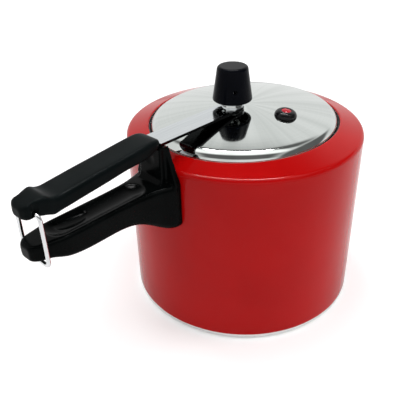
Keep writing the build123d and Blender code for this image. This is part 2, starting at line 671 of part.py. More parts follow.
def stem_ring(bottom, outer_radius, thickness):
    """Ring round the stem, standing on a height."""
    with BuildPart() as ring:
        with BuildSketch(Plane.XY.offset(bottom)):
            with Locations((STEM_X, 0)):
                Circle(outer_radius)
                Circle(STEM_RADIUS + STEM_HOLE_GAP, mode=Mode.SUBTRACT)
        extrude(amount=thickness)
    return ring


stem_seal = stem_ring(FLANGE_SEAT, STEM_SEAL_RADIUS, STEM_SEAL_THICKNESS)
stem_seal.part.label = "stem_seal"
export_step(stem_seal.part, "parts/stem_seal.step")

bar_spacer = stem_ring(LID_CROWN, SPACER_RADIUS, SPACER_THICKNESS)
bar_spacer.part.label = "bar_spacer"
export_step(bar_spacer.part, "parts/bar_spacer.step")

stem_washer = stem_ring(BAR_TOP, WASHER_RADIUS, WASHER_THICKNESS)
stem_washer.part.label = "stem_washer"
export_step(stem_washer.part, "parts/stem_washer.step")

with BuildPart() as stem_nut:
    with BuildSketch(Plane.XY.offset(BAR_TOP + WASHER_THICKNESS)):
        with Locations((STEM_X, 0)):
            RegularPolygon(NUT_ACROSS_FLATS / 2, 6, major_radius=False)
    extrude(amount=NUT_HEIGHT)
    with BuildSketch(stem_plane):
        with BuildLine():
            Polyline(
                (0, BAR_TOP),
                (NUT_ACROSS_FLATS, BAR_TOP),
                (NUT_ACROSS_FLATS / 2, NUT_TOP),
                (0, NUT_TOP),
                close=True,
            )
        make_face()
    revolve(axis=stem_axis, mode=Mode.INTERSECT)
    with Locations((STEM_X, 0, BAR_TOP)):
        Cylinder(STEM_RADIUS + RIVET_FIT, 4 * NUT_HEIGHT, mode=Mode.SUBTRACT)
stem_nut.part.label = "stem_nut"
export_step(stem_nut.part, "parts/stem_nut.step")

# ---------------------------------------------------------------- upper handle
# Station of the loft: reach from the wall, underside and top above the bar's line,
# half width, corner radius.
UPPER_STATIONS = (
    (UPPER_START, 0.2, UPPER_THICKNESS - 4.2, UPPER_HALF_WIDTH - 4.4, 2.4),
    (UPPER_START + 4.5, -0.1, UPPER_THICKNESS - 2.0, UPPER_HALF_WIDTH - 0.9, 3.0),
    (UPPER_START + 12.0, -UPPER_SKIRT, UPPER_THICKNESS - 1.0, UPPER_HALF_WIDTH, UPPER_ROUND),
    (34.0, -UPPER_SKIRT, UPPER_THICKNESS - 0.6, UPPER_HALF_WIDTH, UPPER_ROUND),
    (NOSE_START - 46.0, -UPPER_SKIRT, UPPER_THICKNESS - 0.3, UPPER_HALF_WIDTH, UPPER_ROUND),
    (NOSE_START - 28.0, -UPPER_SKIRT, UPPER_THICKNESS, UPPER_HALF_WIDTH, UPPER_ROUND),
    (NOSE_START - 16.0, -UPPER_SKIRT, UPPER_THICKNESS, UPPER_HALF_WIDTH, UPPER_ROUND),
    (NOSE_START - 8.0, -UPPER_SKIRT, UPPER_THICKNESS, UPPER_HALF_WIDTH, UPPER_ROUND),
    (NOSE_START - 3.0, -UPPER_SKIRT, UPPER_THICKNESS + 0.2, UPPER_HALF_WIDTH, UPPER_ROUND),
    (NOSE_START + 1.5, -UPPER_SKIRT, UPPER_THICKNESS + THUMB_RISE * 0.4, UPPER_HALF_WIDTH, UPPER_ROUND),
    (NOSE_START + 5.0, -0.8, UPPER_THICKNESS + THUMB_RISE * 0.9, UPPER_HALF_WIDTH - 0.3, UPPER_ROUND),
    (NOSE_START + 9.0, 0.4, UPPER_THICKNESS + THUMB_RISE, UPPER_HALF_WIDTH - 1.5, UPPER_ROUND),
    (NOSE_START + 14.0, 1.8, UPPER_THICKNESS + THUMB_RISE - 0.5, NOSE_HALF_WIDTH + 0.5, 3.0),
    (NOSE_REACH - 4.0, 2.2, UPPER_THICKNESS + THUMB_RISE - 1.2, NOSE_HALF_WIDTH, 2.6),
    (NOSE_REACH - 1.5, 2.4, UPPER_THICKNESS + THUMB_RISE - 1.9, NOSE_HALF_WIDTH - 2.2, 2.6),
    (NOSE_REACH, 3.4, UPPER_THICKNESS + THUMB_RISE - 3.2, NOSE_HALF_WIDTH - 4.8, 2.6),
)

with BuildPart() as upper_handle:
    for reach, low, high, half_width, corner in UPPER_STATIONS:
        with BuildSketch(Plane.YZ.offset(out(reach))):
            with Locations((0, tongue_under(reach) + (low + high) / 2)):
                RectangleRounded(2 * half_width, high - low, corner)
    loft()
    channel_end = TONGUE_REACH + TONGUE_GAP
    with BuildSketch(Plane.XZ):
        with BuildLine():
            Polyline(
                (out(0), tongue_under(0) + BAR_THICKNESS + TONGUE_GAP),
                (out(channel_end), tongue_under(channel_end) + BAR_THICKNESS + TONGUE_GAP),
                (out(channel_end), tongue_under(channel_end) - BAR_THICKNESS),
                (out(0), tongue_under(0) - BAR_THICKNESS),
                close=True,
            )
        make_face()
    extrude(amount=TONGUE_WIDTH / 2 + TONGUE_GAP, both=True, mode=Mode.SUBTRACT)
    with Locations(*tongue_screw_frames):
        Cylinder(
            INSERT_RADIUS + INSERT_FIT,
            BAR_THICKNESS + INSERT_LENGTH + 2 * TONGUE_GAP,
            align=(Align.CENTER, Align.CENTER, Align.MAX),
            mode=Mode.SUBTRACT,
        )
    with Locations((out(BAIL_REACH), 0, BAIL_PIVOT_Z)):
        Cylinder(WIRE_RADIUS + BAIL_PIVOT_FIT, 4 * UPPER_HALF_WIDTH, rotation=(90, 0, 0), mode=Mode.SUBTRACT)
    notch_y = NOTCH_HALF_WIDTH + NOTCH_RADIUS
    with Locations((out(BAIL_REACH), notch_y, BAIL_PIVOT_Z), (out(BAIL_REACH), -notch_y, BAIL_PIVOT_Z)):
        Cylinder(NOTCH_RADIUS, 4 * UPPER_THICKNESS, mode=Mode.SUBTRACT)
upper_handle.part.label = "upper_handle"
export_step(upper_handle.part, "parts/upper_handle.step")

with BuildPart() as tongue_screw:
    with BuildSketch(Plane.XZ):
        with BuildLine():
            Polyline(
                (0, 0),
                (TONGUE_SCREW_HEAD_RADIUS, 0),
                (TONGUE_SCREW_RADIUS, -TONGUE_SCREW_HEAD_HEIGHT),
                (TONGUE_SCREW_RADIUS, -TONGUE_SCREW_LENGTH),
                (0, -TONGUE_SCREW_LENGTH),
                close=True,
            )
        make_face()
    revolve(axis=Axis.Z)
    Box(TONGUE_SCREW_HEAD_RADIUS, TONGUE_SCREW_RADIUS / 2, TONGUE_SCREW_RADIUS, mode=Mode.SUBTRACT)
    Box(TONGUE_SCREW_RADIUS / 2, TONGUE_SCREW_HEAD_RADIUS, TONGUE_SCREW_RADIUS, mode=Mode.SUBTRACT)

with BuildPart() as upper_handle_screws:
    with Locations(*tongue_screw_frames):
        add(tongue_screw.part)
upper_handle_screws.part.label = "upper_handle_screws"
export_step(upper_handle_screws.part, "parts/upper_handle_screws.step")

with BuildPart() as upper_handle_inserts:
    for frame in tongue_screw_frames:
        with Locations(frame * Location((0, 0, -BAR_THICKNESS - TONGUE_GAP))):
            Cylinder(INSERT_RADIUS, INSERT_LENGTH, align=(Align.CENTER, Align.CENTER, Align.MAX))
            Cylinder(TONGUE_SCREW_RADIUS + RIVET_FIT, 4 * INSERT_LENGTH, mode=Mode.SUBTRACT)
upper_handle_inserts.part.label = "upper_handle_inserts"
export_step(upper_handle_inserts.part, "parts/upper_handle_inserts.step")

# ---------------------------------------------------------------- wire bail
bail_x = out(BAIL_REACH)
with BuildPart() as handle_bail:
    with BuildLine(Plane.YZ.offset(bail_x)):
        FilletPolyline(
            (-BAIL_BUTT_GAP / 2, BAIL_PIVOT_Z),
            (-BAIL_HALF_WIDTH, BAIL_PIVOT_Z),
            (-BAIL_HALF_WIDTH, CROSSBAR_Z),
            (BAIL_HALF_WIDTH, CROSSBAR_Z),
            (BAIL_HALF_WIDTH, BAIL_PIVOT_Z),
            (BAIL_BUTT_GAP / 2, BAIL_PIVOT_Z),
            radius=BAIL_CORNER,
        )
    with BuildSketch(Plane(origin=(bail_x, -BAIL_BUTT_GAP / 2, BAIL_PIVOT_Z), z_dir=(0, -1, 0))):
        Circle(WIRE_RADIUS)
    sweep()
handle_bail.part.label = "handle_bail"
export_step(handle_bail.part, "parts/handle_bail.step")

# ---------------------------------------------------------------- pressure weight
weight_foot = NUT_TOP + WEIGHT_NUT_GAP
weight_top = weight_foot + WEIGHT_HEIGHT
core_foot = weight_foot + WEIGHT_SKIRT_DEPTH
core_top = core_foot + CORE_HEIGHT
weight_taper = (WEIGHT_BOTTOM_RADIUS - WEIGHT_TOP_RADIUS) / WEIGHT_HEIGHT
skirt_top_radius = WEIGHT_BOTTOM_RADIUS - WEIGHT_WALL - WEIGHT_SKIRT_DEPTH * weight_taper

with BuildPart() as weight_cap:
    with BuildSketch(stem_plane) as cap_section:
        with BuildLine():
            Polyline(
                (0, core_top),
                (CORE_RADIUS + CORE_FIT, core_top),
                (CORE_RADIUS + CORE_FIT, core_foot),
                (skirt_top_radius, core_foot),
                (WEIGHT_BOTTOM_RADIUS - WEIGHT_WALL, weight_foot),
                (WEIGHT_BOTTOM_RADIUS, weight_foot),
                (WEIGHT_TOP_RADIUS, weight_top),
                (0, weight_top),
                close=True,
            )
        make_face()
        top_corner = cap_section.vertices().sort_by_distance((WEIGHT_TOP_RADIUS, weight_top))[0]
        fillet(top_corner, radius=WEIGHT_TOP_ROUND)
        foot_corner = cap_section.vertices().sort_by_distance((WEIGHT_BOTTOM_RADIUS, weight_foot))[0]
        fillet(foot_corner, radius=WEIGHT_FOOT_ROUND)
    revolve(axis=stem_axis)
    for angle in VENT_ANGLES:
        turned = Location((STEM_X, 0, weight_foot + VENT_HEIGHT), (0, 0, angle))
        with Locations(turned * Location((WEIGHT_BOTTOM_RADIUS, 0, 0), (0, 90, 0))):
            Cylinder(VENT_RADIUS, 4 * WEIGHT_WALL, mode=Mode.SUBTRACT)
weight_cap.part.label = "weight_cap"
export_step(weight_cap.part, "parts/weight_cap.step")

with BuildPart() as weight_core:
    with Locations((STEM_X, 0, core_foot)):
        Cylinder(CORE_RADIUS, CORE_HEIGHT, align=(Align.CENTER, Align.CENTER, Align.MIN))
        Cylinder(NEEDLE_RADIUS + CORE_FIT, 2 * NEEDLE_SHANK, mode=Mode.SUBTRACT)
weight_core.part.label = "weight_core"
export_step(weight_core.part, "parts/weight_core.step")

needle_slope = (NEEDLE_RADIUS - NEEDLE_TIP_RADIUS) / NEEDLE_TIP_LENGTH
needle_tip = STEM_TIP - (STEM_BORE_RADIUS - NEEDLE_SEAT_GAP - NEEDLE_TIP_RADIUS) / needle_slope
with BuildPart() as weight_needle:
    with BuildSketch(stem_plane):
        with BuildLine():
            Polyline(
                (0, needle_tip),
                (NEEDLE_TIP_RADIUS, needle_tip),
                (NEEDLE_RADIUS, needle_tip + NEEDLE_TIP_LENGTH),
                (NEEDLE_RADIUS, core_foot + NEEDLE_SHANK),
                (0, core_foot + NEEDLE_SHANK),
                close=True,
            )
        make_face()
    revolve(axis=stem_axis)
weight_needle.part.label = "weight_needle"
export_step(weight_needle.part, "parts/weight_needle.step")

clip_floor = NUT_TOP + CLIP_FLOOR_GAP
with BuildPart() as weight_clip:
    with BuildSketch(Plane.XY.offset(core_foot)):
        with Locations((STEM_X, 0)):
            Circle(CLIP_RADIUS)
            Circle(CLIP_RADIUS - CLIP_LEG_WIDTH, mode=Mode.SUBTRACT)
    extrude(amount=-CLIP_THICKNESS)
    with BuildSketch(Plane.XY.offset(clip_floor)):
        with Locations((STEM_X, 0)):
            with PolarLocations(CLIP_RADIUS - CLIP_THICKNESS / 2, CLIP_LEG_COUNT):
                Rectangle(CLIP_THICKNESS, CLIP_LEG_WIDTH)
    extrude(amount=core_foot - clip_floor)
    with BuildSketch(Plane.XY.offset(clip_floor)):
        with Locations((STEM_X, 0)):
            with PolarLocations(CLIP_RADIUS, CLIP_LEG_COUNT):
                Rectangle(CLIP_LEG_WIDTH, CLIP_LEG_WIDTH, align=(Align.MAX, Align.CENTER))
    extrude(amount=CLIP_THICKNESS)
weight_clip.part.label = "weight_clip"
export_step(weight_clip.part, "parts/weight_clip.step")

# ---------------------------------------------------------------- safety valve
foot_top = -LID_THICKNESS - SEAT_GAP
foot_bottom = foot_top - SAFETY_FOOT_THICKNESS
head_seat = SAFETY_DOME_HEIGHT - PIN_HEAD_HEIGHT
recess_radius = PIN_HEAD_RADIUS + PIN_FIT

with BuildPart() as rubber_plug:
    with BuildSketch(Plane.XZ):
        with BuildLine():
            Polyline(
                (recess_radius, SAFETY_DOME_HEIGHT),
                (recess_radius, head_seat),
                (PIN_RADIUS + PIN_FIT, head_seat),
                (PIN_RADIUS + PIN_FIT, foot_bottom),
                (SAFETY_FOOT_RADIUS, foot_bottom),
                (SAFETY_FOOT_RADIUS, foot_top),
                (SAFETY_NECK_RADIUS, foot_top),
                (SAFETY_NECK_RADIUS, SEAT_GAP),
                (SAFETY_DOME_RADIUS, SEAT_GAP),
            )
            ThreePointArc(
                (SAFETY_DOME_RADIUS, SEAT_GAP),
                (SAFETY_DOME_RADIUS * SAFETY_BULGE[0], SAFETY_DOME_HEIGHT * SAFETY_BULGE[1]),
                (recess_radius, SAFETY_DOME_HEIGHT),
            )
        make_face()
    revolve(axis=Axis.Z)

with BuildPart() as safety_valve_body:
    with Locations(safety_plane.location):
        add(rubber_plug.part)
safety_valve_body.part.label = "safety_valve_body"
export_step(safety_valve_body.part, "parts/safety_valve_body.step")

pin_top = SAFETY_DOME_HEIGHT + PIN_PROUD
pin_brim = SAFETY_DOME_HEIGHT - PIN_PROUD / 2
with BuildPart() as red_pin:
    with BuildSketch(Plane.XZ):
        with BuildLine():
            TangentArc((0, pin_top), (PIN_HEAD_RADIUS, pin_brim), tangent=(1, 0))
            Polyline(
                (PIN_HEAD_RADIUS, pin_brim),
                (PIN_HEAD_RADIUS, head_seat),
                (PIN_RADIUS, head_seat),
                (PIN_RADIUS, foot_bottom),
                (0, foot_bottom),
                (0, pin_top),
            )
        make_face()
    revolve(axis=Axis.Z)

with BuildPart() as safety_pin:
    with Locations(safety_plane.location):
        add(red_pin.part)
safety_pin.part.label = "safety_pin"
export_step(safety_pin.part, "parts/safety_pin.step")
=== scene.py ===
"""Visual model of a stovetop pressure cooker whose oval lid closes from inside the mouth.

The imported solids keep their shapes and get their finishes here.  The pot and the lid are drawn
again as smooth surfaces, and the handles and the weight's cap with softened edges.  The script
then sets the floor, the lamps, the room that reflections show, and the camera.
"""

from __future__ import annotations

import logging
import math
from dataclasses import dataclass, field
from enum import Enum
from typing import Any, Sequence

import bmesh
import bpy
import numpy as np
from mathutils import Matrix, Vector


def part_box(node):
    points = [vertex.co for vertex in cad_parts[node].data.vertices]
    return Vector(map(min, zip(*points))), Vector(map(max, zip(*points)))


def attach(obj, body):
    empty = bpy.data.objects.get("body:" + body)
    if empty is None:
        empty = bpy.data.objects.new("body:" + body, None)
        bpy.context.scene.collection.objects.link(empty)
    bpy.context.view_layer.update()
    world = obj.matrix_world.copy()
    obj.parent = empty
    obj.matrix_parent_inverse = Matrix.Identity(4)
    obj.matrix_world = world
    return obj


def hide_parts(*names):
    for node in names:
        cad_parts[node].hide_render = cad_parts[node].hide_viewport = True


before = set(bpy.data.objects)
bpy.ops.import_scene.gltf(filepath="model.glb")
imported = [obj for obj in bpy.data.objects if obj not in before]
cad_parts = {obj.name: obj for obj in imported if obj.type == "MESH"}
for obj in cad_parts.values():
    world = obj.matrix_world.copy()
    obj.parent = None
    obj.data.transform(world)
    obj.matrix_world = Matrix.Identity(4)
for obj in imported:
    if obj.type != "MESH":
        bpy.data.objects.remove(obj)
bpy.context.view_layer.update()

LOG = logging.getLogger("cooker")

Colour = tuple[float, float, float]
Value = Any

STEM_X = -0.016  # the stem's distance from the pot's axis, in metres
PATCHES = (0.35, 0.65)  # noise values between which a soft patch begins and is full


class Body(Enum):
    """The rigid bodies that the drawn pieces ride on."""

    POT = "pot"
    LID = "lid_assembly"
    WEIGHT = "weight"


class Axis(Enum):
    """Direction along which a metal's grain runs."""

    X = 0
    Z = 2


# ------------------------------------------------------------------ node helpers


class Shader:
    """A node tree that is filled by short calls."""

    def __init__(self, tree: bpy.types.NodeTree) -> None:
        """Keeps the tree that the calls add to."""
        self.tree = tree

    def add(
        self, kind: str, inputs: dict[Any, Value] | None = None, **settings: Value
    ) -> bpy.types.Node:
        """Adds one node.

        Args:
            kind: The node's type name without the leading "ShaderNode".
            inputs: Socket name or number, to a constant or to a socket that feeds it.
            **settings: Plain properties of the node, such as operation.

        Returns:
            The new node.
        """
        node = self.tree.nodes.new("ShaderNode" + kind)
        for name, setting in settings.items():
            setattr(node, name, setting)
        for key, value in (inputs or {}).items():
            if isinstance(value, bpy.types.NodeSocket):
                self.tree.links.new(value, node.inputs[key])
            else:
                node.inputs[key].default_value = value
        return node

    def math(self, operation: str, *values: Value, clamp: bool = False) -> bpy.types.NodeSocket:
        """Adds a Math node on up to three values and returns its result."""
        node = self.add("Math", dict(enumerate(values)), operation=operation, use_clamp=clamp)
        return node.outputs[0]

    def ramp(self, value: bpy.types.NodeSocket, low: float, high: float) -> bpy.types.NodeSocket:
        """Adds a smooth step.

        Args:
            value: The quantity that the step follows.
            low: Where the step is 0; it may be larger than high.
            high: Where the step is 1.

        Returns:
            The step's socket.
        """
        node = self.add(
            "MapRange",
            {"Value": value, "From Min": low, "From Max": high},
            interpolation_type="SMOOTHSTEP",
            clamp=True,
        )
        return node.outputs["Result"]

    def mix(self, factor: Value, first: Value, second: Value) -> bpy.types.NodeSocket:
        """Mixes two colours.

        Args:
            factor: Share of the second colour, from 0 to 1.
            first: A socket or an RGB triple.
            second: A socket or an RGB triple.

        Returns:
            The mixed colour's socket.
        """
        node = self.add("Mix", data_type="RGBA")
        for key, value in ((0, factor), (6, first), (7, second)):
            if isinstance(value, bpy.types.NodeSocket):
                self.tree.links.new(value, node.inputs[key])
            else:
                node.inputs[key].default_value = value if key == 0 else (*value, 1.0)
        return node.outputs[2]

    def noise(
        self, vector: Value, scale: float, detail: float = 2.0, rough: float = 0.5
    ) -> bpy.types.NodeSocket:
        """Adds a noise texture.

        Args:
            vector: Where it is read.
            scale: Patches per unit.
            detail: Number of finer layers.
            rough: Weight of the finer layers.

        Returns:
            The noise's socket, from 0 to 1.
        """
        node = self.add(
            "TexNoise",
            {"Vector": vector, "Scale": scale, "Detail": detail, "Roughness": rough},
        )
        return node.outputs[0]

    def use(self, tree: bpy.types.NodeTree, inputs: dict[Any, Value]) -> bpy.types.Node:
        """Places one shared group."""
        return self.add("Group", inputs, node_tree=tree)

    def here(self) -> bpy.types.NodeSocket:
        """Returns the place on the piece, in metres."""
        return self.add("TexCoord").outputs["Object"]

    def bump(self, height: Value, strength: float, distance: float) -> bpy.types.NodeSocket:
        """Turns a height into a normal."""
        node = self.add("Bump", {"Height": height, "Strength": strength, "Distance": distance})
        return node.outputs[0]

    def surface(self, inputs: dict[Any, Value]) -> None:
        """Ends the tree with one Principled shader.

        Args:
            inputs: Socket name, to a constant or to a socket that feeds it.
        """
        shader = self.add("BsdfPrincipled", inputs)
        output = self.add("OutputMaterial")
        self.tree.links.new(shader.outputs[0], output.inputs["Surface"])


def blank_material(name: str) -> tuple[bpy.types.Material, Shader]:
    """Makes a material with an empty tree.

    Args:
        name: The material's name.

    Returns:
        The material, and the helper that fills its tree.
    """
    material = bpy.data.materials.new(name)
    material.use_nodes = True
    material.node_tree.nodes.clear()
    return material, Shader(material.node_tree)


def group(
    name: str,
    inputs: Sequence[tuple[str, str, Value]],
    outputs: Sequence[tuple[str, str]],
) -> tuple[Shader, Any, Any]:
    """Starts a node group.

    Args:
        name: The group's name.
        inputs: Name, socket type and default of each input.
        outputs: Name and socket type of each output.

    Returns:
        The tree, its input node's outputs and its output node's inputs.
    """
    tree = bpy.data.node_groups.new(name, "ShaderNodeTree")
    for label, kind, default in inputs:
        socket = tree.interface.new_socket(label, in_out="INPUT", socket_type="NodeSocket" + kind)
        if default is not None:
            socket.default_value = default
    for label, kind in outputs:
        tree.interface.new_socket(label, in_out="OUTPUT", socket_type="NodeSocket" + kind)
    enter = tree.nodes.new("NodeGroupInput")
    leave = tree.nodes.new("NodeGroupOutput")
    return Shader(tree), enter.outputs, leave.inputs


class Effects:
    """The node groups that several finishes share."""

    def __init__(self) -> None:
        """Builds each group once."""
        self.smudge = self._smudge()
        self.skin = self._skin()
        self.rings = self._rings()
        self.grain = self._grain()

    @staticmethod
    def _smudge() -> bpy.types.NodeTree:
        """Roughness that drifts in soft patches, as on a handled surface.

        Returns:
            The group's tree.
        """
        shader, enter, leave = group(
            "Handled Gloss",
            [
                ("Vector", "Vector", None),
                ("Scale", "Float", 40.0),
                ("Least", "Float", 0.2),
                ("Most", "Float", 0.3),
            ],
            [("Roughness", "Float")],
        )
        cloud = shader.add(
            "TexNoise",
            {"Vector": enter["Vector"], "Scale": enter["Scale"], "Detail": 3.0, "Distortion": 0.6},
        )
        spread = shader.add(
            "MapRange",
            {
                "Value": cloud.outputs[0],
                "From Min": 0.3,
                "From Max": 0.7,
                "To Min": enter["Least"],
                "To Max": enter["Most"],
            },
        )
        shader.tree.links.new(spread.outputs[0], leave["Roughness"])
        return shader.tree

    @staticmethod
    def _skin() -> bpy.types.NodeTree:
        """Height of a moulded or sprayed skin: fine pebbles over slow waves.

        Returns:
            The group's tree.
        """
        shader, enter, leave = group(
            "Moulded Skin",
            [
                ("Vector", "Vector", None),
                ("Pebbles", "Float", 1500.0),
                ("Waves", "Float", 60.0),
                ("Blend", "Float", 0.5),
            ],
            [("Height", "Float")],
        )
        pebbles, waves = (
            shader.add("TexNoise", {"Vector": enter["Vector"], "Scale": enter[size], "Detail": 1.0})
            for size in ("Pebbles", "Waves")
        )
        share = shader.math("MULTIPLY", pebbles.outputs[0], enter["Blend"])
        shader.tree.links.new(shader.math("ADD", waves.outputs[0], share), leave["Height"])
        return shader.tree

    @staticmethod
    def _rings() -> bpy.types.NodeTree:
        """Rings of a spun or turned face, and noise for a painted sheen that fans outward.

        Rings are noise along the distance from an axis, the root of x squared plus the square
        of y over the oval's ratio.  The painted sheen is noise over the direction from that axis.

        Returns:
            The group's tree.
        """
        shader, enter, leave = group(
            "Spun Rings",
            [
                ("Vector", "Vector", None),
                ("Centre X", "Float", 0.0),
                ("Oval", "Float", 1.0),
                ("Density", "Float", 900.0),
            ],
            [("Height", "Float"), ("Distance", "Float"), ("Streaks", "Float")],
        )
        parts = shader.add("SeparateXYZ", {0: enter["Vector"]})
        across = shader.math("SUBTRACT", parts.outputs[0], enter["Centre X"])
        along = shader.math("DIVIDE", parts.outputs[1], enter["Oval"])
        squares = [shader.math("MULTIPLY", part, part) for part in (across, along)]
        distance = shader.math("SQRT", shader.math("ADD", *squares))
        dense = shader.math("MULTIPLY", distance, enter["Density"])
        lines = shader.add(
            "TexNoise",
            {"W": dense, "Scale": 1.0, "Detail": 3.0, "Roughness": 0.7},
            noise_dimensions="1D",
        )
        turn = [shader.math("DIVIDE", part, distance) for part in (across, along)]
        outward = shader.add("CombineXYZ", dict(enumerate(turn)))
        shader.tree.links.new(lines.outputs[0], leave["Height"])
        shader.tree.links.new(distance, leave["Distance"])
        # Painted sheen: noise over the direction from the axis, for radial bands of tone.
        painted_sheen_noise = shader.noise(outward.outputs[0], scale=5.0, detail=3.0)
        shader.tree.links.new(painted_sheen_noise, leave["Streaks"])
        return shader.tree

    @staticmethod
    def _grain() -> bpy.types.NodeTree:
        """Fine lines drawn along one direction, from noise stretched by the three scales.

        Returns:
            The group's tree.
        """
        shader, enter, leave = group(
            "Drawn Grain",
            [("Vector", "Vector", None), ("Stretch", "Vector", (8.0, 900.0, 900.0))],
            [("Height", "Float")],
        )
        drawn = shader.add(
            "VectorMath", {0: enter["Vector"], 1: enter["Stretch"]}, operation="MULTIPLY"
        )
        lines = shader.noise(drawn.outputs[0], scale=1.0, detail=3.0, rough=0.6)
        shader.tree.links.new(lines, leave["Height"])
        return shader.tree


# ------------------------------------------------------------------ shapes


def arc(
    centre: tuple[Value, Value], radius: float, start: float, end: float, steps: int = 8
) -> np.ndarray:
    """Points of an arc in a section: centre plus radius times (cos, sin) of an even sweep.

    Args:
        centre: Distance from the axis and height, each a number or a column of numbers.
        radius: Radius of the arc.
        start: First angle above the outward direction, in degrees.
        end: Last angle.
        steps: Number of steps between them.

    Returns:
        An array of shape (2, columns, steps + 1).
    """
    sweep = np.radians(np.linspace(start, end, steps + 1))
    across = np.atleast_2d(centre[0]) + radius * np.cos(sweep)
    up = np.atleast_2d(centre[1]) + radius * np.sin(sweep)
    return np.stack(np.broadcast_arrays(across, up))


def run(first: tuple[Value, Value], last: tuple[Value, Value], steps: int = 1) -> np.ndarray:
    """Points of a straight stretch in a section, evenly spaced from first to last.

    Args:
        first: Distance from the axis and height of the first point, as for arc.
        last: The same of the last point.
        steps: Number of steps between them.

    Returns:
        An array of shape (2, columns, steps + 1).
    """
    share = np.linspace(0.0, 1.0, steps + 1)
    across = np.atleast_2d(first[0]) * (1 - share) + np.atleast_2d(last[0]) * share
    up = np.atleast_2d(first[1]) * (1 - share) + np.atleast_2d(last[1]) * share
    return np.stack(np.broadcast_arrays(across, up))


def turned(
    name: str, stretches: Sequence[np.ndarray], angles: np.ndarray, oval: float = 1.0
) -> bpy.types.Object:
    """Sweeps a section round the upright axis: x is r cos a, y is r sin a times the oval.

    Args:
        name: Name of the piece.
        stretches: Parts of the closed section, in order, as arc and run return them.
        angles: The angle of each column of the surface.
        oval: How much narrower the surface is along Y than along X.

    Returns:
        The new piece, smooth but for its true corners.
    """
    columns = len(angles)
    parts = [np.broadcast_to(part, (2, columns, part.shape[2])) for part in stretches]
    radius, height = np.concatenate(parts, axis=2)
    turn = angles[:, None]
    points = np.stack([radius * np.cos(turn), radius * np.sin(turn) * oval, height], axis=2)
    rows = points.shape[1]
    column, row = np.meshgrid(np.arange(columns), np.arange(rows - 1), indexing="ij")
    here, beyond = column * rows + row, (column + 1) % columns * rows + row
    faces = np.stack([here, beyond, beyond + 1, here + 1], axis=2).reshape(-1, 4)
    mesh = bpy.data.meshes.new(name)
    mesh.from_pydata(points.reshape(-1, 3).tolist(), [], faces.tolist())
    piece = bpy.data.objects.new(name, mesh)
    bpy.context.scene.collection.objects.link(piece)
    settle(mesh)
    return piece


def settle(mesh: bpy.types.Mesh, corner: float = 35.0) -> None:
    """Joins points that share a place, turns the faces outward and smooths all but true corners.

    Args:
        mesh: The mesh to settle.
        corner: Angle between faces from which an edge stays sharp, in degrees.
    """
    work = bmesh.new()
    work.from_mesh(mesh)
    bmesh.ops.remove_doubles(work, verts=work.verts, dist=1e-6)
    bmesh.ops.dissolve_degenerate(work, edges=work.edges, dist=1e-7)
    bmesh.ops.recalc_face_normals(work, faces=work.faces)
    work.to_mesh(mesh)
    work.free()
    mesh.shade_smooth()
    mesh.set_sharp_from_angle(angle=math.radians(corner))


def moulded(name: str, node: str, voxel: float, rounds: int) -> bpy.types.Object:
    """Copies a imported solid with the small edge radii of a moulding.

    Args:
        name: Name of the piece.
        node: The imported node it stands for.
        voxel: Size of the grid that the skin is drawn on.
        rounds: How many times each point moves halfway to its neighbours' middle.

    Returns:
        The new piece.
    """
    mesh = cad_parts[node].data.copy()
    mesh.name = name
    settle(mesh)
    piece = bpy.data.objects.new(name, mesh)
    bpy.context.scene.collection.objects.link(piece)
    remesh = piece.modifiers.new("skin", "REMESH")
    remesh.mode = "VOXEL"
    remesh.voxel_size = voxel
    remesh.use_smooth_shade = True
    soften = piece.modifiers.new("edge", "SMOOTH")
    soften.factor = 0.5
    soften.iterations = rounds
    done = piece.evaluated_get(bpy.context.evaluated_depsgraph_get())
    skin = bpy.data.meshes.new_from_object(done)
    piece.modifiers.clear()
    piece.data = skin
    skin.shade_smooth()
    return piece


def stands_for(piece: bpy.types.Object, node: str, body: Body, finish: Finish) -> None:
    """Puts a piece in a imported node's place, on its body and in its finish.

    Args:
        piece: The drawn piece.
        node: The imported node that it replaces.
        body: The rigid body that it rides on.
        finish: What it is made of.
    """
    piece.data.materials.clear()
    piece.data.materials.append(finish.build())
    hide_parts(node)
    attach(piece, body.value)
    LOG.info("%s stands for %s in %s", piece.name, node, finish.name)


